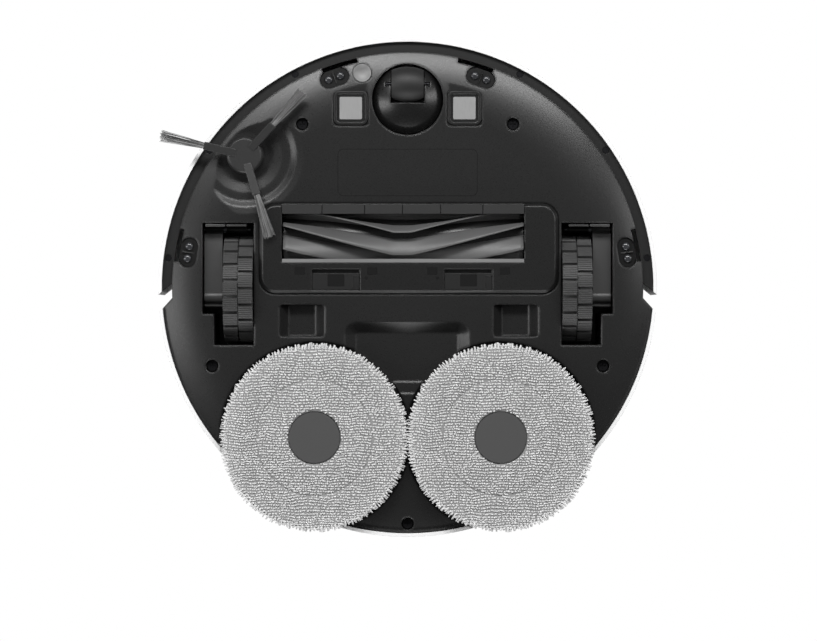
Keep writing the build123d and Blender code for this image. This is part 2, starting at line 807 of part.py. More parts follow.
# ---------------------------------------------------------------- bumper
def bumper_screw_spots():
    spots = []
    for angle in bumper_screw_angles:
        spots.append(front_at(bumper_screw_radius, angle))
        spots.append(front_at(bumper_screw_radius, -angle))
    return spots


def bumper_shell():
    shell = ring(body_radius, body_radius - skin, skin_bottom, cover_under - top_gap)
    for x, y in bumper_screw_spots():
        shell += disc(3.4, lip_z + lip_wall, lip_z + 14, x, y)
    shell = shell & disc(body_radius, 0, 90) & bumper_side(0, 90)
    for x, y in bumper_screw_spots():
        shell -= disc(1.3 + shaft_fit, 0, lip_z + 12, x, y)
    z0, z1 = window_z
    return shell - block(-window_half, window_half, -200, -120, z0, z1)


def bumper_lip():
    band = ring(body_radius - skin, lip_inner, lip_z, lip_z + lip_wall) & bumper_side(0, 90)
    for x, y in bumper_screw_spots():
        band -= disc(2.5, 0, lip_z + 1.2, x, y)
        band -= disc(1.3 + shaft_fit, 0, 60, x, y)
    return band


def bumper_screws():
    screws = []
    for x, y in bumper_screw_spots():
        head = disc(2.3, lip_z - 0.2, lip_z + 1.2, x, y)
        screws.append(head + disc(1.3, lip_z + 1, lip_z + 10, x, y))
    return screws


def front_window():
    z0, z1 = window_z
    arc = ring(body_radius - 0.1, body_radius - skin, z0 + 0.1, z1 - 0.1)
    return arc & block(-window_half + 0.1, window_half - 0.1, -200, -120, z0, z1)


# ---------------------------------------------------------------- caster
def caster_fork():
    y = caster_y
    r = caster_fork_r
    dome_r = (r * r + caster_dome_drop ** 2) / (2 * caster_dome_drop)
    fork = disc(r, caster_fork_bottom, caster_fork_top, 0, y)
    fork = fork & (Pos(0, y, caster_fork_bottom + dome_r) * Sphere(dome_r))
    fork += disc(caster_stem_r, caster_fork_top - 1, caster_fork_top + caster_stem_length, 0, y)
    half = caster_wheel_width / 2 + 0.6
    reach = caster_wheel_r + 1.0
    fork -= block(
        -half, half, y - caster_trail - reach, y - caster_trail + reach, 0, 2 * caster_wheel_r + 0.9
    )
    return fork - rod(caster_axle_r + shaft_fit, -half - 4, half + 4, y - caster_trail, caster_wheel_r)


def caster_axle():
    reach = caster_wheel_width / 2 + 4
    return rod(caster_axle_r, -reach, reach, caster_y - caster_trail, caster_wheel_r)


def caster_wheel():
    half = caster_wheel_width / 2
    edge_r = caster_wheel_r - caster_crown
    crown_arc = ThreePointArc((-half, edge_r), (0, caster_wheel_r), (half, edge_r))
    sides = Polyline((half, edge_r), (half, 0), (-half, 0), (-half, edge_r))
    wheel = revolve(make_face(crown_arc + sides), Axis.X)
    wheel = Pos(0, caster_y - caster_trail, caster_wheel_r) * wheel
    bore_r = caster_axle_r + shaft_fit
    return wheel - rod(bore_r, -half - 1, half + 1, caster_y - caster_trail, caster_wheel_r)


# ---------------------------------------------------------------- drive wheels, +X side
def wheel_arm():
    """The gearbox beside the wheel, hung on the hinge barrel, with a round boss under it."""
    x0, x1 = arm_x
    arm = block(x0, x1, pivot_y + 3.3, arm_rear, arm_z[0], arm_z[1])
    arm = fillet(arm.edges().filter_by(Axis.X).group_by(Axis.Y)[-1], 8.0)
    arm -= block(x0 - 1, x1 + 1, arm_boss_y, 40, 0, arm_z[0] + 3.5)
    arm += rod(arm_boss_r, x0, x1, arm_boss_y, arm_z[0] + arm_boss_r - 0.6)
    arm += rod(arm_front, x0, x1, pivot_y, pivot_z)
    arm += block(x0, x1, pivot_y, pivot_y + 5, pivot_z - 3, pivot_z + 3)
    arm -= rod(pivot_pin_r + shaft_fit, x0 - 1, x1 + 1, pivot_y, pivot_z)
    return arm - rod(axle_r + shaft_fit, x0 - 1, x0 + 9.5, wheel_y, wheel_r)


def wheel_hub():
    hub = rod(hub_r, wheel_x[0] + 0.6, wheel_x[1] - 0.6, wheel_y, wheel_r)
    hub -= rod(hub_r - 6, wheel_x[0], wheel_x[0] + 4, wheel_y, wheel_r)
    return hub + rod(axle_r, wheel_x[1] - 1, arm_x[0] + 9, wheel_y, wheel_r)


def tread_row(x0, x1, turn):
    pitch = 2 * pi * wheel_r / lug_count
    outline = Circle(wheel_r - tread_depth)
    for index in range(lug_count):
        angle = 360.0 / lug_count * index + turn
        outline += Rot(0, 0, angle) * Pos(wheel_r - 4, 0) * Rectangle(8.0, pitch * lug_share)
    outline &= Circle(wheel_r)
    outline -= Circle(hub_r)
    row = extrude(outline, x1 - x0)
    return Pos(x0, wheel_y, wheel_r) * Rot(0, 90, 0) * row


def wheel_tyre():
    x0, x1 = wheel_x
    tyre = tread_row(x0, x0 + row_width, 0)
    tyre += tread_row(x1 - row_width, x1, 180.0 / lug_count)
    middle = rod(wheel_r - tread_depth, x0 + row_width - 0.5, x1 - row_width + 0.5, wheel_y, wheel_r)
    return tyre + middle - rod(hub_r, x0 - 1, x1 + 1, wheel_y, wheel_r)


# ---------------------------------------------------------------- main brush
def brush_core():
    x0, x1 = brush_x
    core = rod(brush_core_r, x0, x1, brush_y, brush_z)
    pins = rod(
        brush_pin_r, cover_window_x[0] - 3 - brush_pin_length,
        cover_window_x[1] + 4 + brush_pin_length, brush_y, brush_z,
    )
    return core + pins


def blade_half(length, sign):
    """Six blades on one side of the middle, twisting back as they go outwards."""
    outline = Circle(brush_core_r + 1.5)
    for index in range(blade_count):
        outline += Rot(0, 0, 360.0 / blade_count * index) * Pos(brush_r / 2 + 4, 0) * Rectangle(
            brush_r - 8, blade_wall
        )
    outline &= Circle(brush_r)
    outline -= Circle(brush_core_r)
    return Solid.extrude_linear_with_rotation(
        outline.faces()[0], center=(0, 0, 0), normal=(0, 0, sign * length), angle=sign * blade_sweep
    )


def brush_blades():
    axis_mid = Pos(brush_mid, brush_y, brush_z) * Rot(0, 90, 0)
    right = blade_half(brush_x[1] - brush_mid - blade_flat, 1)
    left = blade_half(brush_mid - brush_x[0] - blade_flat, -1)
    return [axis_mid * Pos(0, 0, blade_flat) * right, axis_mid * Pos(0, 0, -blade_flat) * left]


# ---------------------------------------------------------------- brush cover
def latch_outline(x, front, z0, z1, grow):
    half = latch_width / 2 + grow
    return block(x - half, x + half, latch_y[0] - grow - front, latch_y[1] + grow, z0, z1)


def brush_cover():
    cover = block(*cover_x, *cover_y, cover_z[0], cover_z[1], cover_corner)
    cover = chamfer(cover.faces().sort_by(Axis.Z)[0].edges(), 2.2)
    cover -= rod(brush_r + brush_gap, *cover_window_x, brush_y, brush_z)
    cover -= block(*cover_window_x, brush_y - 17.6, brush_y + 17.6, cover_z[1] - 2.5, 40)
    cover -= block(cover_window_x[0], cover_window_x[1], flap_y[0] - 0.2, brush_y - 14, 0, flap_z[1])
    cover -= block(cover_window_x[0], cover_window_x[1], brush_y + 13, strip_y[1] + 0.1, 0, strip_z[1])
    for x in latch_x:
        cover -= latch_outline(x, latch_travel, 0, latch_z[1] + 0.2, 0.3)
    return cover


def front_flaps():
    edges = (cover_window_x[0],) + flap_slits + (cover_window_x[1],)
    flaps = []
    for left, right in zip(edges[:-1], edges[1:]):
        flaps.append(block(left + slit / 2, right - slit / 2, *flap_y, *flap_z))
    return flaps


def scraper_strip():
    return block(cover_window_x[0] + 0.2, cover_window_x[1] - 0.2, *strip_y, *strip_z)


def latch(x):
    width, length = latch_pocket
    pocket = block(x - width / 2, x + width / 2, latch_y[0] - 1, latch_y[0] + length, 0, latch_z[1] - 1.0)
    step = block(x + width / 2 + 6, x + latch_width, latch_y[0] + 2, latch_y[1] + 1, 0, latch_z[0] + 0.7)
    return latch_outline(x, 0, latch_z[0], latch_z[1], 0) - pocket - step


# ---------------------------------------------------------------- side brush
def side_brush_hub():
    top = base_z + side_bowl_depth - slide_gap
    hub = Pos(side_x, side_y, (top + 4.5) / 2) * Cone(side_hub_r - 4, side_hub_r, top - 4.5)
    hub += disc(side_shaft_r, top - 2, top + 12, side_x, side_y)
    half = side_arm_width / 2
    side = Polyline((6, 4.2), (side_arm_end, 1.6), (side_arm_end, 4.8), (6, 8.6), close=True)
    arm = extrude(Plane.XZ * make_face(side), half, both=True)
    for angle in side_arm_angles:
        hub += Pos(side_x, side_y, 0) * Rot(0, 0, angle) * arm
    return hub


def side_brush_bristles():
    """The soft bundles as plain wedges, from the arm's end to the tips near the floor."""
    bundles = []
    profile = Polyline(
        (side_arm_end, 1.9), (side_reach, 0.6), (side_reach, 2.0), (side_arm_end, 4.4), close=True
    )
    blade = extrude(Plane.XZ * make_face(profile), 2.6, both=True)
    for angle in side_arm_angles:
        bundles.append(Pos(side_x, side_y, 0) * Rot(0, 0, angle) * blade)
    return bundles


# ---------------------------------------------------------------- mops
def mop_carriage():
    plate = block(
        -mop_x - gearbox_r - 6, mop_x + gearbox_r + 6, guide_y[0] - 5, guide_y[1] + 3,
        carriage_z, carriage_z + carriage_wall, 8.0,
    )
    for y in guide_y:
        plate += disc(guide_r + 2.4, carriage_z, carriage_z + 16, 0, y)
        plate -= disc(guide_r + shaft_fit, 0, 60, 0, y)
    return plate - both_sides(disc(mop_shaft_r + shaft_fit, 0, 60, mop_x, mop_y))


def mop_gearboxes():
    z0 = carriage_z + carriage_wall
    box = disc(gearbox_r, z0, z0 + gearbox_height, mop_x, mop_y)
    box += disc(10.0, z0, z0 + gearbox_height, mop_x - 24, mop_y)
    box -= disc(mop_shaft_r + shaft_fit, z0 - 1, z0 + 8, mop_x, mop_y)
    return [box, other_side(box)]


def mop_holder():
    """The turning plate of one mop, with its shaft above and its centre cap below."""
    plate = disc(holder_r, pad_thick, pad_thick + holder_wall, mop_x, mop_y)
    plate += disc(mop_shaft_r, pad_thick + 1, carriage_z + carriage_wall + 7, mop_x, mop_y)
    return plate + disc(cap_r, cap_recess, pad_thick + 1, mop_x, mop_y)


def mop_pad():
    return ring(pad_r, cap_r + 0.3, 0, pad_thick, mop_x, mop_y)


# ---------------------------------------------------------------- output
os.makedirs("parts", exist_ok=True)
save([base_plate(), chassis_wall()], "base_plate")
save(caster_socket(), "caster_socket")
save([brush_chamber(), dust_duct()], "brush_chamber")
save(wheel_well(), "wheel_well_left")
save(other_side(wheel_well()), "wheel_well_right")
save(suspension_pins() + suspension_springs(), "suspension_pins")
save(charge_contacts(), "charge_contacts")
save(cliff_sensors() + cliff_lenses(), "cliff_sensors")
save(carpet_sensor(), "carpet_sensor")
save(chassis_screws(), "chassis_screws")
save([upper_frame(), box_tub()], "upper_frame")
save(top_cover(), "top_cover")
save(rear_shell(), "rear_shell")
save(main_board(), "main_board")
save(battery_pack(), "battery_pack")
save(speaker(), "speaker")
save(bumper_switches(), "bumper_switches")
save(dust_bin(), "dust_bin")
save(dust_filter(), "dust_filter")
save(water_tank(), "water_tank")
save(water_pump(), "water_pump")
save(fan_housing(), "fan_housing")
save(fan_impeller(), "fan_impeller")
save([side_brush_motor(), main_brush_motor()], "brush_motors")
save(mop_lift_motor(), "mop_lift_motor")
save(lidar_base(), "lidar_base")
save(turret_ring(), "turret_ring")
save(lidar_cap(), "lidar_cap")
save(lidar_head(), "lidar_head")
save(button(-button_x), "power_button")
save(button(button_x), "home_button")
save(top_lid(), "top_lid")
save(bumper_shell(), "bumper_shell")
save(bumper_lip(), "bumper_lip")
save(bumper_screws(), "bumper_screws")
save(front_window(), "front_window")
save(caster_fork(), "caster_fork")
save(caster_axle(), "caster_axle")
save(caster_wheel(), "caster_wheel")
for side, place in (("left", lambda shape: shape), ("right", other_side)):
    save(place(wheel_arm()), f"wheel_arm_{side}")
    save(place(wheel_hub()), f"wheel_hub_{side}")
    save(place(wheel_tyre()), f"wheel_tyre_{side}")
    save(place(mop_holder()), f"mop_holder_{side}")
    save(place(mop_pad()), f"mop_pad_{side}")
save(brush_core(), "brush_core")
save(brush_blades(), "brush_blades")
save(brush_cover(), "brush_cover")
save(front_flaps(), "front_flaps")
save(scraper_strip(), "scraper_strip")
save(latch(latch_x[0]), "latch_right")
save(latch(latch_x[1]), "latch_left")
save(side_brush_hub(), "side_brush_hub")
save(side_brush_bristles(), "side_brush_bristles")
save(mop_carriage(), "mop_carriage")
save(mop_gearboxes(), "mop_gearboxes")
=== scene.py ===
import json
import math

import bmesh
import bpy
from bpy.props import FloatProperty, FloatVectorProperty, IntProperty, PointerProperty
from mathutils import Matrix, Vector


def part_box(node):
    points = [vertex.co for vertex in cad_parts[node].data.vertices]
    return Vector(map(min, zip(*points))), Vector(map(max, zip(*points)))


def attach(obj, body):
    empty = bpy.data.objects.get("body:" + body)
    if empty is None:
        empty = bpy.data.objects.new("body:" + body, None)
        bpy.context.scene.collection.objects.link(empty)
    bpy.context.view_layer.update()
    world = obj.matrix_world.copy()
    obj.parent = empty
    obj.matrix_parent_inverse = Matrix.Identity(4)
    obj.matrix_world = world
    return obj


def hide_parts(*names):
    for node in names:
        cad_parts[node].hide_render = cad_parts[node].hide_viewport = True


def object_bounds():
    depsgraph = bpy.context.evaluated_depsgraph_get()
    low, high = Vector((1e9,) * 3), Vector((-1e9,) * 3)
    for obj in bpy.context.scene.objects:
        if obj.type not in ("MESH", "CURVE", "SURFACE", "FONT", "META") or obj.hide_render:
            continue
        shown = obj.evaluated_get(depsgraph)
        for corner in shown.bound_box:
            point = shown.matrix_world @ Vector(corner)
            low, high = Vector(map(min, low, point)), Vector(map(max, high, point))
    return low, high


bl_info = {
    "name": "Mopping robot vacuum",
    "version": (1, 0, 0),
    "blender": (4, 5, 0),
    "location": "3D View > Sidebar > Robot",
    "description": "Builds the looks of a round robot vacuum with two spinning mops round its fixed frame",
    "category": "Object",
}

# The frame is in metres, with +Z up, the floor at z = 0, the bumper at -Y and the mops at +Y.
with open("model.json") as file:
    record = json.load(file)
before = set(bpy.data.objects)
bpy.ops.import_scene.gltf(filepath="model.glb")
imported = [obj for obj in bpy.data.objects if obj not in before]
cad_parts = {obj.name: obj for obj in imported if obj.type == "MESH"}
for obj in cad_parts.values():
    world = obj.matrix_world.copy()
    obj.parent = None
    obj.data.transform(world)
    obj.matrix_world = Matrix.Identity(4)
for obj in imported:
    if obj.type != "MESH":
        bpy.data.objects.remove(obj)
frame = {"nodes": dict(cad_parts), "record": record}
CAD_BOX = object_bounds()
NODES = frame["nodes"]
MM = 0.001


# ---------------------------------------------------------------- small helpers
def linear(code):
    """An sRGB hex colour as a linear one, with alpha."""
    channels = [int(code[i:i + 2], 16) / 255 for i in (1, 3, 5)]
    return tuple([c / 12.92 if c <= 0.04045 else ((c + 0.055) / 1.055) ** 2.4 for c in channels] + [1.0])


def linear_hex(colour):
    """A property's linear colour as the sRGB hex that the finishes take."""
    levels = [12.92 * c if c <= 0.0031308 else 1.055 * c ** (1 / 2.4) - 0.055 for c in colour[:3]]
    return "#" + "".join(f"{round(max(0.0, min(1.0, c)) * 255):02x}" for c in levels)


def toned(code, factor, lift=0.0):
    """A colour made darker or lighter, with alpha."""
    return tuple([min(1.0, c * factor + lift) for c in linear(code)[:3]] + [1.0])


def plug(tree, node, inputs):
    """Gives sockets of a node a value, or a socket or a node's first output to link from."""
    for key, value in inputs.items():
        if isinstance(value, bpy.types.Node):
            value = value.outputs[0]
        if isinstance(value, bpy.types.NodeSocket):
            tree.links.new(value, node.inputs[key])
        else:
            node.inputs[key].default_value = value


def add(tree, kind, inputs=None, **settings):
    """Adds a node with its settings, and fills its sockets."""
    node = tree.nodes.new(kind)
    for key, value in settings.items():
        setattr(node, key, value)
    plug(tree, node, inputs or {})
    return node


def centre(node):
    low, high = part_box(node)
    return (low + high) / 2


def loose_boxes(node):
    """The lowest and highest corners of each separate solid in a CAD node, in the same order each run."""
    work = bmesh.new()
    work.from_mesh(NODES[node].data)
    bmesh.ops.remove_doubles(work, verts=work.verts, dist=1e-6)
    left = set(work.verts)
    boxes = []
    while left:
        queue = [left.pop()]
        found = []
        while queue:
            vert = queue.pop()
            found.append(vert.co.copy())
            for edge in vert.link_edges:
                other = edge.other_vert(vert)
                if other in left:
                    left.remove(other)
                    queue.append(other)
        low = Vector([min(co[i] for co in found) for i in range(3)])
        high = Vector([max(co[i] for co in found) for i in range(3)])
        boxes.append((low, high))
    work.free()
    return sorted(boxes, key=lambda box: (*box[0], *box[1]))


def mesh_from(name, verts, faces, smooth=True):
    mesh = bpy.data.meshes.new(name)
    mesh.from_pydata([tuple(v) for v in verts], [], faces)
    mesh.update()
    if smooth:
        mesh.shade_smooth()
    return mesh


def lathe(name, profile, middle, steps=128, axis="Z"):
    """Turns a closed outline of (radius, height) points round an axis through middle."""
    verts = []
    for k in range(steps):
        turn = 2 * math.pi * k / steps
        for r, h in profile:
            if axis == "Z":
                spot = (r * math.cos(turn), r * math.sin(turn), h)
            else:
                spot = (h, r * math.cos(turn), r * math.sin(turn))
            verts.append(Vector(spot) + Vector(middle))
    n = len(profile)
    faces = []
    for k in range(steps):
        for i in range(n):
            a, b = k * n + i, k * n + (i + 1) % n
            c, d = ((k + 1) % steps) * n + (i + 1) % n, ((k + 1) % steps) * n + i
            faces.append((a, d, c, b))
    mesh = mesh_from(name, verts, faces)
    return outward(mesh)


def outward(mesh):
    """Closes poles and points the faces of a closed shape outwards."""
    work = bmesh.new()
    work.from_mesh(mesh)
    bmesh.ops.remove_doubles(work, verts=work.verts, dist=1e-7)
    bmesh.ops.delete(work, geom=[edge for edge in work.edges if edge.is_wire], context="EDGES")
    bmesh.ops.recalc_face_normals(work, faces=work.faces)
    work.to_mesh(mesh)
    work.free()
    mesh.update()
    return mesh


def piece_of(name, mesh, body, material):
    """A finished piece at the origin, riding on a body."""
    piece = bpy.data.objects.new(name, mesh)
    bpy.context.scene.collection.objects.link(piece)
    mesh.materials.clear()
    mesh.materials.append(material)
    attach(piece, body)
    return piece


def new_tree(name, inputs):
    """A Geometry Nodes tree with one geometry in, one out, and named inputs for its sizes."""
    tree = bpy.data.node_groups.new(name, "GeometryNodeTree")
    tree.interface.new_socket("Geometry", in_out="INPUT", socket_type="NodeSocketGeometry")
    tree.interface.new_socket("Geometry", in_out="OUTPUT", socket_type="NodeSocketGeometry")
    for label, kind, value in inputs:
        socket = tree.interface.new_socket(label, in_out="INPUT", socket_type=kind)
        if kind != "NodeSocketMaterial":
            socket.default_value = value
    return tree, tree.nodes.new("NodeGroupInput").outputs, tree.nodes.new("NodeGroupOutput").inputs


def finish_tree(tree, geometry, group, out, smooth=True):
    """Makes the instances real and paints them, which every tree ends with."""
    result = add(tree, "GeometryNodeRealizeInstances", {0: geometry})
    if smooth:
        result = add(tree, "GeometryNodeSetShadeSmooth", {"Geometry": result})
    painted = add(tree, "GeometryNodeSetMaterial", {"Geometry": result, "Material": group["Material"]})
    tree.links.new(painted.outputs[0], out[0])


def bake(name, source, tree, values, body, material):
    """Runs a tree on a mesh, keeps the result as a plain piece and drops the modifier."""
    holder = bpy.data.objects.new(name + "_source", source)
    bpy.context.scene.collection.objects.link(holder)
    grow = holder.modifiers.new("grow", "NODES")
    grow.node_group = tree
    for item in tree.interface.items_tree:
        if item.item_type == "SOCKET" and item.in_out == "INPUT":
            if item.name == "Material":
                grow[item.identifier] = material
            elif item.name in values:
                grow[item.identifier] = values[item.name]
    view = bpy.context.evaluated_depsgraph_get()
    mesh = bpy.data.meshes.new_from_object(holder.evaluated_get(view))
    holder.modifiers.remove(grow)
    bpy.data.objects.remove(holder)
    if not mesh.polygons:
        raise RuntimeError(f"{name} came out empty")
    mesh.name = name
    return piece_of(name, mesh, body, material)


# ---------------------------------------------------------------- finishes
def new_finish(name):
    """A material, its node tree, its shader and the object's own coordinates."""
    mat = bpy.data.materials.new(name)
    mat.use_nodes = True
    tree = mat.node_tree
    return mat, tree, tree.nodes["Principled BSDF"], add(tree, "ShaderNodeTexCoord").outputs["Object"]


def moulded(name, colour, rough, grain_mm=0.8, bump=0.25, cloud=0.12, ior=1.5, coat=0.0, edge_mm=0.45,
            edge_highlight_by=0.35):
    """Moulded plastic: spark-eroded grain in the bump, slight flow clouds in colour and gloss, soft edges with a
    painted highlight.
    """
    mat, tree, shader, place = new_finish(name)
    # Real grain is about 0.1 mm; it is drawn coarser so that it shows at this size.
    grain = add(tree, "ShaderNodeTexNoise", {"Vector": place, "Scale": 1 / (grain_mm * MM), "Detail": 3.0})
    flow = add(tree, "ShaderNodeTexNoise", {"Vector": place, "Scale": 1 / (38 * MM), "Detail": 4.0})
    tint = add(tree, "ShaderNodeMix", {
        0: flow, 6: toned(colour, 1 - cloud), 7: toned(colour, 1 + cloud)}, data_type="RGBA")
    edge = add(tree, "ShaderNodeBevel", {"Radius": edge_mm * MM}, samples=4)
    relief = add(tree, "ShaderNodeBump", {
        "Height": grain, "Strength": bump, "Distance": 0.05 * MM, "Normal": edge})
    # Where the soft edge turns away from the true face, the colour is lifted as a painted highlight along the edge.
    sharp = add(tree, "ShaderNodeNewGeometry").outputs["Normal"]
    lean = add(tree, "ShaderNodeVectorMath", {0: sharp, 1: edge}, operation="DOT_PRODUCT")
    edge_highlight = add(tree, "ShaderNodeMapRange", {0: lean.outputs["Value"], 1: 0.995, 2: 0.8, 3: 0.0, 4: edge_highlight_by})
    skin = add(tree, "ShaderNodeMix", {
        0: edge_highlight, 6: tint.outputs[2], 7: toned(colour, 2.2, 0.02)}, data_type="RGBA")
    gloss = add(tree, "ShaderNodeMapRange", {0: grain, 1: 0.3, 2: 0.7, 3: rough - 0.04, 4: rough + 0.05})
    plug(tree, shader, {
        "Base Color": skin.outputs[2], "Roughness": gloss, "Normal": relief, "IOR": ior,
        "Coat Weight": coat, "Coat Roughness": 0.12})
    return mat


def metal(name, colour, rough, line_mm, axis=(1.0, 0.08, 1.0)):
    """Metal with fine drawn or brushed lines along one way, so that it shines in a streak."""
    mat, tree, shader, place = new_finish(name)
    stretch = add(tree, "ShaderNodeMapping", {"Vector": place, "Scale": axis})
    lines = add(tree, "ShaderNodeTexNoise", {"Vector": stretch, "Scale": 1 / (line_mm * MM), "Detail": 5.0})
    tint = add(tree, "ShaderNodeMix", {
        0: lines, 6: toned(colour, 0.82), 7: linear(colour)}, data_type="RGBA")
    gloss = add(tree, "ShaderNodeMapRange", {0: lines, 3: rough - 0.06, 4: rough + 0.08})
    relief = add(tree, "ShaderNodeBump", {"Height": lines, "Strength": 0.15, "Distance": 0.02 * MM})
    plug(tree, shader, {
        "Metallic": 1.0, "Base Color": tint.outputs[2], "Roughness": gloss,
        "Normal": relief})
    return mat


def clear_plastic(name, colour, rough, weight):
    """Tinted clear polycarbonate: dark, smooth, with faint ripples from the mould."""
    mat, tree, shader, place = new_finish(name)
    ripple = add(tree, "ShaderNodeTexNoise", {"Vector": place, "Scale": 1 / (9 * MM), "Detail": 2.0})
    relief = add(tree, "ShaderNodeBump", {"Height": ripple, "Strength": 0.08, "Distance": 0.1 * MM})
    tint = add(tree, "ShaderNodeMix", {
        0: ripple, 6: toned(colour, 0.7), 7: linear(colour)}, data_type="RGBA")
    plug(tree, shader, {
        "Base Color": tint.outputs[2], "Normal": relief, "Roughness": rough, "IOR": 1.58,
        "Transmission Weight": weight})
    return mat


def looped_cloth(name, colour, shade, thread_mm=0.9, piled=False):
    """Microfibre loop pile: pale loops and, when piled, a ground between them painted dark as shade; matt, with a
    soft sheen.
    """
    mat, tree, shader, place = new_finish(name)
    # Real fibres are 0.01 mm and can't show, so the noise follows whole loops and their rows.
    rows = add(tree, "ShaderNodeMapping", {"Vector": place, "Scale": (0.45, 1.0, 0.3)})
    loops = add(tree, "ShaderNodeTexNoise", {"Vector": rows, "Scale": 1 / (thread_mm * MM), "Detail": 3.0})
    patch = add(tree, "ShaderNodeTexNoise", {"Vector": place, "Scale": 1 / (14 * MM), "Detail": 3.0})
    both = add(tree, "ShaderNodeMath", {0: patch, 1: 0.18, 2: loops}, operation="MULTIPLY_ADD")
    ramp = add(tree, "ShaderNodeMapRange", {0: both, 1: 0.3, 2: 0.72, 3: 0.0, 4: 1.0})
    share = ramp
    if piled:
        # Each loop has its own tone, and the ground between the rows is painted dark as shade in the pile.
        height = add(tree, "ShaderNodeAttribute", attribute_name="pile_height").outputs["Fac"]
        own = add(tree, "ShaderNodeNewGeometry").outputs["Random Per Island"]
        spread = add(tree, "ShaderNodeMath", {0: own, 1: 0.34, 2: 0.66}, operation="MULTIPLY_ADD")
        soft = add(tree, "ShaderNodeMath", {0: share, 1: 0.3, 2: 0.7}, operation="MULTIPLY_ADD")
        both = add(tree, "ShaderNodeMath", {0: spread, 1: soft}, operation="MULTIPLY")
        share = add(tree, "ShaderNodeMath", {0: both, 1: height}, operation="MULTIPLY")
    tint = add(tree, "ShaderNodeMix", {0: share, 6: linear(shade), 7: linear(colour)}, data_type="RGBA")
    relief = add(tree, "ShaderNodeBump", {"Height": loops, "Strength": 0.5, "Distance": 0.3 * MM})
    rough = add(tree, "ShaderNodeMapRange", {0: patch, 3: 0.86, 4: 0.98})
    plug(tree, shader, {
        "Base Color": tint.outputs[2], "Roughness": rough, "Normal": relief,
        "Sheen Weight": 0.25, "Sheen Roughness": 0.5})
    return mat


def drawn_fibre(name, light, dark, rough):
    """Drawn nylon monofilament: satin, each fibre of its own tone, so that a bundle shows its strands."""
    mat, tree, shader, place = new_finish(name)
    own = add(tree, "ShaderNodeNewGeometry").outputs["Random Per Island"]
    crimp = add(tree, "ShaderNodeTexNoise", {"Vector": place, "Scale": 1 / (2.5 * MM), "Detail": 2.0})
    tone = add(tree, "ShaderNodeMath", {0: crimp, 1: 0.3, 2: own}, operation="MULTIPLY_ADD")
    share = add(tree, "ShaderNodeMapRange", {0: tone, 1: 0.15, 2: 1.15})
    tint = add(tree, "ShaderNodeMix", {0: share, 6: linear(dark), 7: linear(light)}, data_type="RGBA")
    gloss = add(tree, "ShaderNodeMapRange", {0: crimp, 3: rough - 0.06, 4: rough + 0.08})
    plug(tree, shader, {"Base Color": tint.outputs[2], "Roughness": gloss, "IOR": 1.53})
    return mat


def rubber(name, colour, rough, grain_mm=0.6, bump=0.35):
    """Moulded rubber: dull, with a faint sheen, and its edges lifted in colour as a painted highlight."""
    mat = moulded(name, colour, rough, grain_mm, bump, cloud=0.22, ior=1.52, edge_mm=0.3)
    mat.node_tree.nodes["Principled BSDF"].inputs["Sheen Weight"].default_value = 0.08
    return mat


FINISH = {}


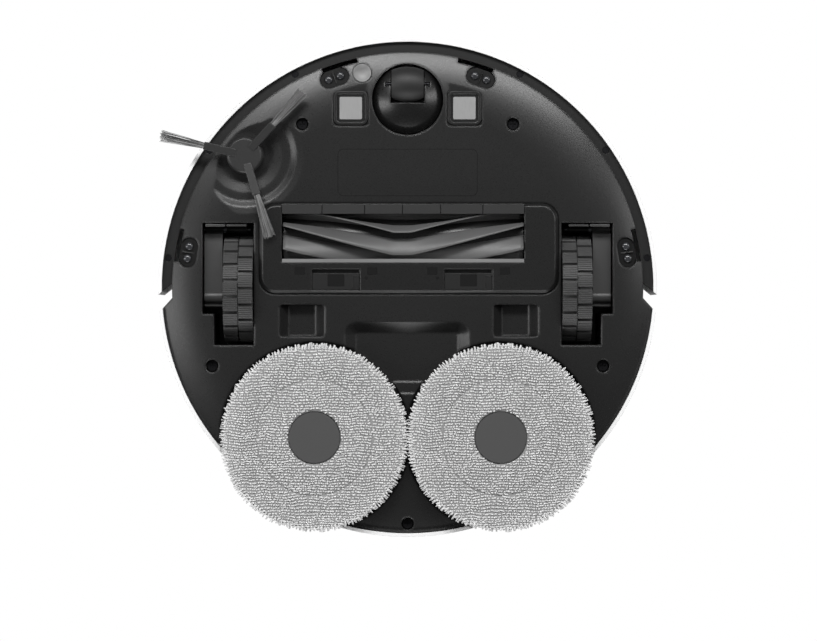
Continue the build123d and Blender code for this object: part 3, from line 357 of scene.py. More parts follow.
def make_finishes(look):
    """One finish for each material of the object, named for what it is."""
    shell = linear_hex(look.shell)
    floor = linear_hex(look.chassis)
    loops = linear_hex(look.pad)
    FINISH.update({
        # Glossy injection-moulded ABS with a clear top coat.
        "white_shell": moulded("abs_white_gloss", shell, 0.24, 1.5, 0.03, 0.02, coat=0.3, edge_mm=0.6),
        # Black ABS with a fine spark-eroded texture: satin, it lights up on slopes.
        "base": moulded("abs_black_satin_soft_edged", floor, 0.30, 0.7, 0.08, 0.10, edge_mm=2.4, edge_highlight_by=0.1),
        "dark_chassis": moulded("abs_black_satin", floor, 0.30, 0.7, 0.08, 0.10, edge_mm=0.7),
        # Polished black polycarbonate.
        "dark_gloss": moulded("polycarbonate_black_polished", "#101010", 0.3, 1.2, 0.02, 0.05, 1.58, edge_mm=1.2,
                              edge_highlight_by=0.0),
        # Black polypropylene of the brush cover and other inserts, smoother than the floor.
        "dark_insert": moulded("polypropylene_black", "#1a1a1a", 0.30, 0.7, 0.08, 0.08, 1.49, edge_mm=1.4),
        "inner_grey": moulded("abs_grey_unpolished", "#4a4b4d", 0.5, 1.0, 0.3, 0.1),
        "clear_dark": clear_plastic("polycarbonate_smoke_clear", "#1a1a1c", 0.05, 0.35),
        "rubber": rubber("rubber_black_soft", "#181818", 0.55, 0.6, 0.12),
        "tyre": rubber("rubber_tyre_black", "#313131", 0.48, 0.5, 0.3),
        # Soft silicone of the brush blades: smooth grey with a satin shine.
        "brush_rubber": rubber("silicone_grey_satin", "#565656", 0.44, 0.9, 0.06),
        "bristle": drawn_fibre("nylon_bristle_grey", "#9c9c9c", "#434343", 0.38),
        "steel": metal("steel_zinc_plated", "#8d8f93", 0.34, 0.4),
        "steel_black": metal("steel_blackened", "#2c2c2e", 0.42, 0.4),
        # The side brush's hub is smooth glass-filled nylon, a shade lighter than the floor.
        "hub": moulded("nylon_black_smooth", "#262626", 0.38, 0.8, 0.05, 0.06, 1.53, edge_mm=1.2, edge_highlight_by=0.1),
        # The swing arms are a lighter, drier nylon than the floor.
        "arm": moulded("nylon_grey_matt", "#474747", 0.42, 0.8, 0.12, 0.1, 1.53, edge_mm=1.0),
        "hinge": moulded("nylon_grey_hinge", "#383838", 0.42, 0.8, 0.12, 0.1, 1.53, edge_mm=0.5),
        "lip": moulded("abs_black_edge", "#161616", 0.4, 0.7, 0.2, 0.08, edge_mm=0.5),
        "dish": moulded("abs_grey_dish", "#8c8c8c", 0.42, 1.6, 0.05, 0.04, edge_mm=0.2, edge_highlight_by=0.0),
        "lens": clear_plastic("polycarbonate_clear_lens", "#3c3d40", 0.05, 0.1),
        # Near-black for the cliff sensors, and also for plates painted as shade in the latch pockets, pinholes and
        # label groove.
        "sensor_and_shade_black": moulded("abs_black_sensor_and_painted_shade", "#060606", 0.62, 1.0, 0.1, 0.05, 1.3, edge_mm=0.3, edge_highlight_by=0.05),
        "contact": metal("nickel_plate_matt", "#a9a9a9", 0.52, 0.5),
        "strip": rubber("tpu_strip_pale_grey", "#757575", 0.42, 0.8, 0.06),
        "microfibre": looped_cloth("microfibre_loop_pile", loops, "#6c6c6c", piled=True),
        "mop_plate": moulded("abs_grey_matt", "#434343", 0.55, 0.8, 0.12, 0.03, edge_mm=0.3),
        "board": moulded("fibreglass_board_green", "#16452f", 0.42, 0.5, 0.4, 0.25),
        "battery": moulded("pvc_shrink_film_blue", "#24406b", 0.3, 2.4, 0.25, 0.1),
        "filter": looped_cloth("filter_paper_pleated", "#e6e4dc", "#b9b7b0", 1.6),
        "tank": clear_plastic("polycarbonate_smoke_tank", "#5a6066", 0.12, 0.75),
    })


# ---------------------------------------------------------------- sizes and colours that a user would change
class RobotLook(bpy.types.PropertyGroup):
    shell: FloatVectorProperty(name="Shell colour", description="White outer skin", subtype="COLOR",
                               default=linear("#f2f2f2")[:3], min=0, max=1)
    chassis: FloatVectorProperty(name="Chassis colour", description="Black plastic of the underside",
                                 subtype="COLOR", default=linear("#1e1e1e")[:3], min=0, max=1)
    pad: FloatVectorProperty(name="Pad colour", description="Loops of the mop pads", subtype="COLOR",
                             default=linear("#f0f0f0")[:3], min=0, max=1)


class RobotPads(bpy.types.PropertyGroup):
    pitch_along: FloatProperty(name="Loop pitch along a row", description="Distance between loops in a row",
                               default=1.22 * MM, unit="LENGTH", precision=5)
    pitch_across: FloatProperty(name="Row pitch", description="Distance between rows of loops",
                                default=1.85 * MM, unit="LENGTH", precision=5)
    wave: FloatProperty(name="Row wave", description="How far the rows wander", default=3.2 * MM, unit="LENGTH",
                        precision=5)
    strands: IntProperty(name="Rim strands", description="Strands in one layer of the rim fringe", default=165)
    seam: FloatProperty(name="Seam radius", description="Sewn ring that joins the pad to its backing",
                        default=40.5 * MM, unit="LENGTH", precision=5)


class RobotBrushes(bpy.types.PropertyGroup):
    fibres: IntProperty(name="Fibre rows", description="Fibres across one side-brush bundle", default=15)
    fibre_r: FloatProperty(name="Fibre radius", description="Radius of one nylon fibre", default=0.2 * MM,
                           unit="LENGTH", precision=5)
    blades: IntProperty(name="Brush blades", description="Blades round the main brush", default=8)
    sweep: FloatProperty(name="Blade sweep", description="How far a blade turns from its middle to its end",
                         default=math.radians(58), unit="ROTATION")
    slant: FloatProperty(name="Blade slant", description="How far a blade's tip trails behind its foot",
                         default=math.radians(24), unit="ROTATION")


class RobotTyres(bpy.types.PropertyGroup):
    lugs: IntProperty(name="Lugs a row", description="Lugs round one row of the tread", default=20)
    share: FloatProperty(name="Lug share", description="Part of the pitch that a lug fills", default=0.8)
    ribs: IntProperty(name="Ribs a lug", description="Fine ribs across one lug", default=6)
    depth: FloatProperty(name="Tread depth", description="Height of a lug", default=2.4 * MM, unit="LENGTH",
                         precision=5)


class RobotStage(bpy.types.PropertyGroup):
    distance: FloatProperty(name="Camera distance", description="From the underside to the camera", default=2.5,
                            unit="LENGTH")
    width: FloatProperty(name="View width", description="Width of the view at the underside", default=0.572,
                         unit="LENGTH")
    key: FloatProperty(name="Key light", description="Strength of the big soft box", default=30.0, unit="POWER")


# ---------------------------------------------------------------- stage
AIM_SHARE = (0.0036, 0.1323)    # where the camera looks, as a share of the body's half width
CLEARANCE = 11 * MM             # height of the chassis floor, where the view's width is measured


def area_light(name, spot, aim, size, power, size_y=None):
    data = bpy.data.lights.new(name, "AREA")
    data.energy = power
    data.size = size
    if size_y:
        data.shape = "RECTANGLE"
        data.size_y = size_y
    light = bpy.data.objects.new(name, data)
    bpy.context.scene.collection.objects.link(light)
    light.location = spot
    light.rotation_euler = (Vector(aim) - Vector(spot)).to_track_quat("-Z", "Y").to_euler()
    return light


class ROBOT_OT_stage(bpy.types.Operator):
    """Floor, soft boxes, pale surroundings and the camera below the robot"""
    bl_idname = "robot.stage"
    bl_label = "Stage"

    def execute(self, context):
        scene = context.scene
        setup = scene.robot_stage
        low, high = CAD_BOX
        floor = bpy.data.objects.new("floor", mesh_from(
            "floor", [(-4, -4, 0), (4, -4, 0), (4, 4, 0), (-4, 4, 0)], [(0, 1, 2, 3)], smooth=False))
        scene.collection.objects.link(floor)
        paint = bpy.data.materials.new("floor_pale_matt")
        paint.use_nodes = True
        tree = paint.node_tree
        shader = tree.nodes["Principled BSDF"]
        place = add(tree, "ShaderNodeTexCoord").outputs["Object"]
        mottle = add(tree, "ShaderNodeTexNoise", {"Vector": place, "Scale": 6.0, "Detail": 3.0})
        tint = add(tree, "ShaderNodeMix", {0: mottle, 6: linear("#e4e4e2"), 7: linear("#ececea")},
                   data_type="RGBA")
        plug(tree, shader, {"Base Color": tint.outputs[2]})
        shader.inputs["Roughness"].default_value = 0.7
        # The floor is seen from above only, so that the underside shows through it.
        under = add(tree, "ShaderNodeNewGeometry").outputs["Backfacing"]
        clear = add(tree, "ShaderNodeBsdfTransparent")
        mix = add(tree, "ShaderNodeMixShader", {0: under, 1: shader, 2: clear})
        plug(tree, tree.nodes["Material Output"], {"Surface": mix})
        floor.data.materials.append(paint)
        floor.visible_diffuse = False
        floor.visible_glossy = False
        floor.visible_transmission = False
        floor.visible_shadow = False

        world = bpy.data.worlds.new("studio")
        scene.world = world
        world.use_nodes = True
        tree = world.node_tree
        room = tree.nodes["Background"]
        room.inputs["Color"].default_value = linear("#ffffff")
        room.inputs["Strength"].default_value = 0.1
        backdrop = add(tree, "ShaderNodeBackground", {"Color": (1, 1, 1, 1), "Strength": 1.0})
        seen = add(tree, "ShaderNodeLightPath").outputs["Is Camera Ray"]
        mix = add(tree, "ShaderNodeMixShader", {0: seen, 1: room, 2: backdrop})
        plug(tree, tree.nodes["World Output"], {"Surface": mix})

        scene.view_settings.view_transform = "Standard"
        middle = (0.0, 0.0, 0.01)
        area_light("key_front_left", (-0.95, -1.35, -1.75), middle, 1.5, setup.key * 0.32, 0.9)
        area_light("front_band", (0.1, -1.5, -1.85), middle, 2.3, setup.key * 1.6, 0.5)
        area_light("strip_left", (-1.7, 0.1, -0.9), middle, 0.6, setup.key * 0.5, 1.8)
        area_light("strip_right", (1.7, -0.5, -1.1), middle, 0.6, setup.key * 0.35, 1.4)
        area_light("rear_low", (0.0, 2.0, -0.5), middle, 1.8, setup.key * 0.65, 0.4)
        area_light("top_box", (-0.7, -0.9, 1.9), (0, 0, 0.05), 1.4, 42.0)
        area_light("top_fill", (1.4, 0.9, 1.3), (0, 0, 0.05), 1.2, 16.0)

        lens = bpy.data.cameras.new("camera")
        lens.sensor_width = 36.0
        lens.lens = lens.sensor_width * setup.distance / setup.width
        lens.clip_end = 30.0
        camera = bpy.data.objects.new("camera", lens)
        scene.collection.objects.link(camera)
        # Straight below, turned so that the bumper is up; the pads' side gets the wider margin.
        half = (high[0] - low[0]) / 2
        camera.location = (AIM_SHARE[0] * half, AIM_SHARE[1] * half, CLEARANCE - setup.distance)
        camera.rotation_euler = (math.pi, 0, 0)
        scene.camera = camera
        return {"FINISHED"}


# ---------------------------------------------------------------- CAD nodes
# Nodes whose finish differs a little from the rest of their slot.
NODE_FINISH = {
    "bumper_lip": "lip", "wheel_arm_left": "arm", "wheel_arm_right": "arm", "chassis_screws": "steel_black",
    "bumper_screws": "steel_black", "caster_axle": "steel_black", "carpet_sensor": "dish",
    "cliff_sensors": "sensor_and_shade_black", "base_plate": "base", "side_brush_hub": "hub", "latch_left": "lip",
    "latch_right": "lip",
}


class ROBOT_OT_finishes(bpy.types.Operator):
    """Gives every node of the frame its material"""
    bl_idname = "robot.finishes"
    bl_label = "Finishes"

    def execute(self, context):
        make_finishes(context.scene.robot_look)
        slots = {part["node"]: part["material_slot"] for part in frame["record"]["subparts"]}
        for name, node in NODES.items():
            node.data.materials.clear()
            node.data.materials.append(FINISH[NODE_FINISH.get(name, slots[name])])
        return {"FINISHED"}


# ---------------------------------------------------------------- mop pads
def pile_tree():
    """Rows of loops on a round pad, with a fringe of strands round its rim."""
    tree, group, out = new_tree("loop_pile", [
        ("Centre", "NodeSocketVector", (0, 0, 0)), ("Outer Radius", "NodeSocketFloat", 64 * MM),
        ("Inner Radius", "NodeSocketFloat", 18 * MM), ("Pitch Along", "NodeSocketFloat", 1.4 * MM),
        ("Pitch Across", "NodeSocketFloat", 1.1 * MM), ("Wave", "NodeSocketFloat", 2 * MM),
        ("Seam Radius", "NodeSocketFloat", 40 * MM), ("Strands", "NodeSocketInt", 165),
        ("Seed", "NodeSocketInt", 1), ("Material", "NodeSocketMaterial", None)])
    outer = group["Outer Radius"]
    span = add(tree, "ShaderNodeMath", {0: outer, 1: 2.0}, operation="MULTIPLY")
    counts = [add(tree, "ShaderNodeMath", {0: span, 1: group[pitch]}, operation="DIVIDE")
              for pitch in ("Pitch Along", "Pitch Across")]
    grid = add(tree, "GeometryNodeMeshGrid", {
        "Size X": span, "Size Y": span, "Vertices X": counts[0], "Vertices Y": counts[1]}).outputs["Mesh"]
    wander = add(tree, "ShaderNodeTexNoise", {"Scale": 55.0, "Detail": 2.0}).outputs["Color"]
    for operation, socket, value in (("SUBTRACT", 1, (0.5, 0.5, 0.5)), ("SCALE", "Scale", group["Wave"]),
                                     ("MULTIPLY", 1, (1.0, 1.6, 0.0))):
        wander = add(tree, "ShaderNodeVectorMath", {0: wander, socket: value}, operation=operation)
    loose = add(tree, "FunctionNodeRandomValue", {
        0: (-0.62 * MM, -0.26 * MM, -0.16 * MM), 1: (0.62 * MM, 0.26 * MM, 0.16 * MM), "Seed": group["Seed"]},
        data_type="FLOAT_VECTOR")
    shift = add(tree, "ShaderNodeVectorMath", {0: wander, 1: loose}, operation="ADD")
    spots = add(tree, "GeometryNodeSetPosition", {"Geometry": grid, "Offset": shift})
    spot = add(tree, "GeometryNodeInputPosition")
    flat = add(tree, "ShaderNodeVectorMath", {0: spot, 1: (1, 1, 0)}, operation="MULTIPLY")
    radius = add(tree, "ShaderNodeVectorMath", {0: flat}, operation="LENGTH").outputs["Value"]
    # No loop grows past the rim, under the centre cap or on the seam.
    rim_edge = add(tree, "ShaderNodeMath", {0: outer, 1: 1.6 * MM}, operation="SUBTRACT")
    cap_edge = add(tree, "ShaderNodeMath", {0: group["Inner Radius"], 1: 0.7 * MM}, operation="ADD")
    across = add(tree, "ShaderNodeMath", {0: radius, 1: group["Seam Radius"]}, operation="SUBTRACT")
    off_seam = add(tree, "ShaderNodeMath", {0: across}, operation="ABSOLUTE")
    gone = add(tree, "ShaderNodeMath", {0: radius, 1: rim_edge}, operation="GREATER_THAN")
    for distance, limit in ((radius, cap_edge), (off_seam, 0.35 * MM)):
        bare = add(tree, "ShaderNodeMath", {0: distance, 1: limit}, operation="LESS_THAN")
        gone = add(tree, "ShaderNodeMath", {0: gone, 1: bare}, operation="ADD")
    spots = add(tree, "GeometryNodeDeleteGeometry", {"Geometry": spots, "Selection": gone}, domain="POINT")
    # The pad is flat where it wipes and rounds up at its rim; the seam is sewn in a little.
    share = add(tree, "ShaderNodeMath", {0: radius, 1: outer}, operation="DIVIDE")
    steep = add(tree, "ShaderNodeMath", {0: share, 1: 14.0}, operation="POWER")
    crown = add(tree, "ShaderNodeMath", {0: steep, 1: 1.9 * MM}, operation="MULTIPLY")
    sewn = add(tree, "ShaderNodeMapRange", {0: off_seam, 1: 0.3 * MM, 2: 1.6 * MM, 3: 0.7 * MM, 4: 0.0})
    raised = add(tree, "ShaderNodeMath", {0: crown, 1: sewn}, operation="ADD")
    lift = add(tree, "ShaderNodeCombineXYZ", {2: raised})
    spots = add(tree, "GeometryNodeSetPosition", {"Geometry": spots, "Offset": lift})
    loop = add(tree, "GeometryNodeMeshIcoSphere", {"Radius": 0.5, "Subdivisions": 1}).outputs["Mesh"]
    size = add(tree, "FunctionNodeRandomValue", {
        0: (1.1 * MM, 1.0 * MM, 1.1 * MM), 1: (1.75 * MM, 1.55 * MM, 1.6 * MM), "Seed": group["Seed"]},
        data_type="FLOAT_VECTOR")
    bend = add(tree, "ShaderNodeTexNoise", {"Scale": 90.0, "Detail": 1.0})
    bend = add(tree, "ShaderNodeMapRange", {0: bend, 1: 0.3, 2: 0.7, 3: -0.5, 4: 0.5})
    twist = add(tree, "FunctionNodeRandomValue", {2: -0.2, 3: 0.2, "Seed": group["Seed"]}).outputs[1]
    heading = add(tree, "ShaderNodeMath", {0: bend, 1: twist}, operation="ADD")
    turn = add(tree, "ShaderNodeCombineXYZ", {0: twist, 1: twist, 2: heading})
    pile = add(tree, "GeometryNodeInstanceOnPoints", {
        "Points": spots, "Instance": loop, "Rotation": turn, "Scale": size})

    # Three layers of strands lean out round the rim.
    ring_count = add(tree, "ShaderNodeMath", {0: group["Strands"], 1: 3.0}, operation="MULTIPLY")
    rim_r = add(tree, "ShaderNodeMath", {0: outer, 1: 4.4 * MM}, operation="SUBTRACT")
    rim = add(tree, "GeometryNodeMeshCircle", {"Vertices": ring_count, "Radius": rim_r}).outputs["Mesh"]
    index = add(tree, "GeometryNodeInputIndex")
    third = add(tree, "ShaderNodeMath", {0: index, 1: 3.0}, operation="MODULO")
    layer = add(tree, "ShaderNodeMath", {0: third, 1: 1.15 * MM}, operation="MULTIPLY")
    # Every three strands lean together into a tuft, which leaves a notch beside it.
    along = add(tree, "ShaderNodeVectorMath", {0: flat, 1: (0.0, 0.0, 1.0)}, operation="CROSS_PRODUCT")
    aside = add(tree, "ShaderNodeMath", {0: third, 1: 1.0}, operation="SUBTRACT")
    gather = add(tree, "ShaderNodeMath", {0: aside, 1: 0.0045}, operation="MULTIPLY")
    tuft = add(tree, "ShaderNodeVectorMath", {0: along, "Scale": gather}, operation="SCALE")
    rim = add(tree, "GeometryNodeSetPosition", {"Geometry": rim, "Offset": tuft})
    height = add(tree, "ShaderNodeMath", {0: layer, 1: 1.5 * MM}, operation="ADD")
    rise = add(tree, "ShaderNodeCombineXYZ", {2: height})
    rim = add(tree, "GeometryNodeSetPosition", {"Geometry": rim, "Offset": rise})
    ruffle = add(tree, "FunctionNodeRandomValue", {
        0: (-0.008, -0.008, -0.012), 1: (0.008, 0.008, 0.004), "Seed": 5}, data_type="FLOAT_VECTOR")
    out_way = add(tree, "ShaderNodeVectorMath", {0: flat, 1: ruffle}, operation="ADD")
    aim = add(tree, "FunctionNodeAlignRotationToVector", {"Vector": out_way}, axis="Z")
    strand = add(tree, "GeometryNodeMeshCone", {
        "Vertices": 5, "Radius Top": 0.33, "Radius Bottom": 0.52, "Depth": 1.0}).outputs["Mesh"]
    reach = add(tree, "FunctionNodeRandomValue", {
        0: (1.1 * MM, 1.0 * MM, 2.6 * MM), 1: (2.0 * MM, 1.4 * MM, 5.2 * MM), "Seed": 9},
        data_type="FLOAT_VECTOR")
    fringe = add(tree, "GeometryNodeInstanceOnPoints", {
        "Points": rim, "Instance": strand, "Rotation": aim, "Scale": reach})
    grown = add(tree, "GeometryNodeJoinGeometry")
    for part in (fringe, pile):
        plug(tree, grown, {0: part})
    placed = add(tree, "GeometryNodeTransform", {"Geometry": grown, "Translation": group["Centre"]})
    whole = add(tree, "GeometryNodeJoinGeometry")
    # Loops and strands get 1 and the ground 0.25, so that the cloth paints the ground dark as shade between the rows.
    for part, pile_height in ((placed, 1.0), (group["Geometry"], 0.25)):
        real = add(tree, "GeometryNodeRealizeInstances", {0: part})
        marked = add(tree, "GeometryNodeStoreNamedAttribute", {
            "Geometry": real, "Name": "pile_height", "Value": pile_height}, data_type="FLOAT", domain="POINT")
        plug(tree, whole, {0: marked})
    finish_tree(tree, whole, group, out)
    return tree


class ROBOT_OT_pads(bpy.types.Operator):
    """Loop-pile mop pads with a fringed rim"""
    bl_idname = "robot.pads"
    bl_label = "Mop pads"

    def execute(self, context):
        setup = context.scene.robot_pads
        tree = pile_tree()
        for side in ("left", "right"):
            low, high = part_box(f"mop_pad_{side}")
            spot = centre(f"mop_pad_{side}")
            outer = (high.x - low.x) / 2 + 1.2 * MM
            inner = 18.1 * MM       # just outside the centre cap of the mop plate
            top = high.z - 0.1 * MM
            profile = [(inner, top), (inner, 2.2 * MM), (inner + 0.8 * MM, 1.7 * MM), (inner + 2 * MM, 1.5 * MM),
                       (setup.seam - 1.2 * MM, 1.5 * MM), (setup.seam, 2.3 * MM), (setup.seam + 1.2 * MM, 1.5 * MM),
                       (outer - 7 * MM, 1.6 * MM), (outer - 3.6 * MM, 2.1 * MM), (outer - 2.2 * MM, 2.9 * MM),
                       (outer - 2.2 * MM, 4.2 * MM), (outer - 3.4 * MM, 5.3 * MM), (outer - 6 * MM, top)]
            ground = lathe("pad_ground", profile, (spot.x, spot.y, 0), 180)
            pad = bake(f"mop_pad_looped_{side}", ground, tree, {
                "Centre": (spot.x, spot.y, 1.0 * MM), "Outer Radius": outer, "Inner Radius": inner,
                "Pitch Along": setup.pitch_along, "Pitch Across": setup.pitch_across, "Wave": setup.wave,
                "Seam Radius": setup.seam, "Strands": setup.strands, "Seed": 3 if side == "left" else 8},
                f"mop_{side}", FINISH["microfibre"])
            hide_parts(f"mop_pad_{side}")
        return {"FINISHED"}


# ---------------------------------------------------------------- side brush
def bundle_tree():
    """Three bundles of slightly wavy nylon fibres that splay out and down from their holders."""
    tree, group, out = new_tree("fibre_bundles", [
        ("Centre", "NodeSocketVector", (0, 0, 0)), ("Start", "NodeSocketFloat", 27 * MM),
        ("Length", "NodeSocketFloat", 33 * MM), ("Drop", "NodeSocketFloat", 0.06),
        ("Fibres", "NodeSocketInt", 15), ("Fibre Radius", "NodeSocketFloat", 0.2 * MM),
        ("First Angle", "NodeSocketFloat", 0.0), ("Seed", "NodeSocketInt", 1),
        ("Material", "NodeSocketMaterial", None)])
    grid = add(tree, "GeometryNodeMeshGrid", {
        "Size X": 1.7 * MM, "Size Y": 3.5 * MM, "Vertices X": 4, "Vertices Y": group["Fibres"]}).outputs["Mesh"]
    end = add(tree, "ShaderNodeCombineXYZ", {0: group["Length"]})
    line = add(tree, "GeometryNodeCurvePrimitiveLine", {"End": end})
    line = add(tree, "GeometryNodeResampleCurve", {"Curve": line, "Count": 8})
    spot = add(tree, "ShaderNodeSeparateXYZ", {0: add(tree, "GeometryNodeInputPosition")})
    # The grid lies flat: its X is the height in the bundle and its Y the place across it.
    splay = add(tree, "ShaderNodeMath", {0: spot.outputs["Y"], 1: 27.0}, operation="MULTIPLY")
    fan = add(tree, "ShaderNodeMath", {0: spot.outputs["X"], 1: 10.0}, operation="MULTIPLY")
    stray = add(tree, "FunctionNodeRandomValue", {2: -0.035, 3: 0.035, "Seed": group["Seed"]}).outputs[1]
    pitch = group["Drop"]
    for part in (stray, fan):
        pitch = add(tree, "ShaderNodeMath", {0: pitch, 1: part}, operation="ADD")
    yaw = add(tree, "ShaderNodeMath", {0: splay, 1: stray}, operation="ADD")
    way = add(tree, "ShaderNodeCombineXYZ", {1: pitch, 2: yaw})
    long = add(tree, "FunctionNodeRandomValue", {2: 0.95, 3: 1.0, "Seed": 4}).outputs[1]
    # The way a fibre points is kept on the grid's points before the grid is stood up.
    marked = add(tree, "GeometryNodeStoreNamedAttribute", {
        "Geometry": grid, "Name": "way", "Value": way}, data_type="FLOAT_VECTOR", domain="POINT")
    down = add(tree, "ShaderNodeMath", {0: spot.outputs["X"], 1: -1.0}, operation="MULTIPLY")
    stand = add(tree, "ShaderNodeCombineXYZ", {1: spot.outputs["Y"], 2: down})
    root = add(tree, "GeometryNodeSetPosition", {"Geometry": marked, "Position": stand})
    kept = add(tree, "GeometryNodeInputNamedAttribute", {"Name": "way"}, data_type="FLOAT_VECTOR")
    fibres = add(tree, "GeometryNodeInstanceOnPoints", {
        "Points": root, "Instance": line, "Rotation": kept, "Scale": long})
    fibres = add(tree, "GeometryNodeRealizeInstances", {0: fibres})
    along = add(tree, "GeometryNodeSplineParameter").outputs["Factor"]
    wave = add(tree, "ShaderNodeTexNoise", {"Scale": 160.0, "Detail": 1.0}).outputs["Color"]
    wave = add(tree, "ShaderNodeVectorMath", {0: wave, 1: (0.5, 0.5, 0.5)}, operation="SUBTRACT")
    sway = add(tree, "ShaderNodeMath", {0: along, 1: 1.3 * MM}, operation="MULTIPLY")
    wave = add(tree, "ShaderNodeVectorMath", {0: wave, "Scale": sway}, operation="SCALE")
    fibres = add(tree, "GeometryNodeSetPosition", {"Geometry": fibres, "Offset": wave})
    thin = add(tree, "ShaderNodeMapRange", {0: along, 3: 1.0, 4: 0.55})
    fibres = add(tree, "GeometryNodeSetCurveRadius", {"Curve": fibres, "Radius": thin})
    section = add(tree, "GeometryNodeCurvePrimitiveCircle", {"Resolution": 5, "Radius": group["Fibre Radius"]})
    body = add(tree, "GeometryNodeCurveToMesh", {
        "Curve": fibres, "Profile Curve": section, "Scale": thin, "Fill Caps": True})
    start = add(tree, "ShaderNodeCombineXYZ", {0: group["Start"]})
    bundle = add(tree, "GeometryNodeTransform", {"Geometry": body, "Translation": start})
    three = add(tree, "GeometryNodeMeshLine", {"Count": 3, "Offset": (0, 0, 0)})
    index = add(tree, "GeometryNodeInputIndex")
    step = add(tree, "ShaderNodeMath", {0: index, 1: 2 * math.pi / 3}, operation="MULTIPLY")
    angle = add(tree, "ShaderNodeMath", {0: step, 1: group["First Angle"]}, operation="ADD")
    turn = add(tree, "ShaderNodeCombineXYZ", {2: angle})
    star = add(tree, "GeometryNodeInstanceOnPoints", {
        "Points": three, "Instance": bundle, "Rotation": turn})
    placed = add(tree, "GeometryNodeTransform", {"Geometry": star, "Translation": group["Centre"]})
    finish_tree(tree, placed, group, out)
    return tree


class ROBOT_OT_side_brush(bpy.types.Operator):
    """Nylon bundles of the side brush"""
    bl_idname = "robot.side_brush"
    bl_label = "Side brush"

    def execute(self, context):
        setup = context.scene.robot_brushes
        # The brush turns about the mean of its three bundles' middles.
        bundle_boxes = sorted(loose_boxes("side_brush_bristles"), key=lambda b: b[0].x)
        tips = [(low + high) / 2 for low, high in bundle_boxes]
        spot = sum(tips, Vector()) / 3
        first = math.radians(73.0)
        reach = max((Vector((t.x, t.y)) - Vector((spot.x, spot.y))).length for t in tips) + 15.8 * MM
        start = 27.0 * MM
        bundles = bake("side_brush_fibres", mesh_from("empty", [], []), bundle_tree(), {
            "Centre": (spot.x, spot.y, 3.1 * MM), "Start": start, "Length": reach - start, "Drop": 0.015,
            "Fibres": setup.fibres, "Fibre Radius": setup.fibre_r, "First Angle": first, "Seed": 2},
            "side_brush", FINISH["bristle"])
        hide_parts("side_brush_bristles")
        # A round cap over the hub; the holders stand proud of it.
        low_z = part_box("side_brush_hub")[0].z + 2.75 * MM
        cap = rounded_plate("side_brush_cap", 12.5 * MM, 12.5 * MM, 12.45 * MM, low_z, low_z + 3.2 * MM, 1.3 * MM, 14)
        cap.transform(Matrix.Translation((spot.x, spot.y, 0)))
        piece_of("side_brush_cap", cap, "side_brush", FINISH["hub"])
        return {"FINISHED"}


# ---------------------------------------------------------------- main brush
def turning_tree(name):
    """Copies of one mesh, evenly round the X axis."""
    tree, group, out = new_tree(name, [
        ("Centre", "NodeSocketVector", (0, 0, 0)), ("Count", "NodeSocketInt", 6),
        ("First Angle", "NodeSocketFloat", 0.0), ("Material", "NodeSocketMaterial", None)])
    line = add(tree, "GeometryNodeMeshLine", {"Count": group["Count"], "Offset": (0, 0, 0)})
    index = add(tree, "GeometryNodeInputIndex")
    step = add(tree, "ShaderNodeMath", {0: 2 * math.pi, 1: group["Count"]}, operation="DIVIDE")
    angle = add(tree, "ShaderNodeMath", {0: index, 1: step}, operation="MULTIPLY")
    angle = add(tree, "ShaderNodeMath", {0: angle, 1: group["First Angle"]}, operation="ADD")
    turn = add(tree, "ShaderNodeCombineXYZ", {0: angle})
    ring = add(tree, "GeometryNodeInstanceOnPoints", {
        "Points": line, "Instance": group["Geometry"], "Rotation": turn})
    placed = add(tree, "GeometryNodeTransform", {"Geometry": ring, "Translation": group["Centre"]})
    finish_tree(tree, placed, group, out)
    return tree


class ROBOT_OT_main_brush(bpy.types.Operator):
    """Silicone blades in a V round the main brush"""
    bl_idname = "robot.main_brush"
    bl_label = "Main brush"

    def execute(self, context):
        setup = context.scene.robot_brushes
        low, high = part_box("brush_blades")
        axis_y = (low.y + high.y) / 2
        axis_z = (low.z + high.z) / 2
        tip_r = (high.z - low.z) / 2
        root_r = 12.6 * MM      # a little inside the core, so that no gap shows
        mid_x = -3.7 * MM       # the point of the V lies a little off the brush's middle
        flat = 6.0 * MM         # half of the straight stretch at the point
        steps = 48
        verts = []
        for i in range(steps + 1):
            x = low.x + (high.x - low.x) * i / steps
            side = high.x if x > mid_x else low.x
            away = max(0.0, abs(x - mid_x) - flat) / (abs(side - mid_x) - flat)
            turn = setup.sweep * away
            # The blade is thick at its foot and thin, with a rounded lip, at its tip.
            for r, half in ((root_r, 1.9), (15 * MM, 1.15), (18 * MM, 0.8), (tip_r - 0.9 * MM, 0.75),
                            (tip_r, 0.42)):
                for sign in (1, -1):
                    lean = sign * half * MM / r - turn + setup.slant * (r - root_r) / (tip_r - root_r)
                    verts.append((x, -r * math.sin(lean), r * math.cos(lean)))
        ring = [0, 2, 4, 6, 8, 9, 7, 5, 3, 1]
        faces = [tuple(ring), tuple(steps * 10 + k for k in reversed(ring))]
        for i in range(steps):
            for k in range(10):
                a, b = ring[k], ring[(k + 1) % 10]
                faces.append((i * 10 + a, i * 10 + b, (i + 1) * 10 + b, (i + 1) * 10 + a))
        blade = outward(mesh_from("blade", verts, faces))
        blades = bake("brush_blades_silicone", blade, turning_tree("blades_round_brush"), {
            "Centre": (0, axis_y, axis_z), "Count": setup.blades, "First Angle": math.radians(238.0)},
            "main_brush", FINISH["brush_rubber"])
        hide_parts("brush_blades")
        return {"FINISHED"}


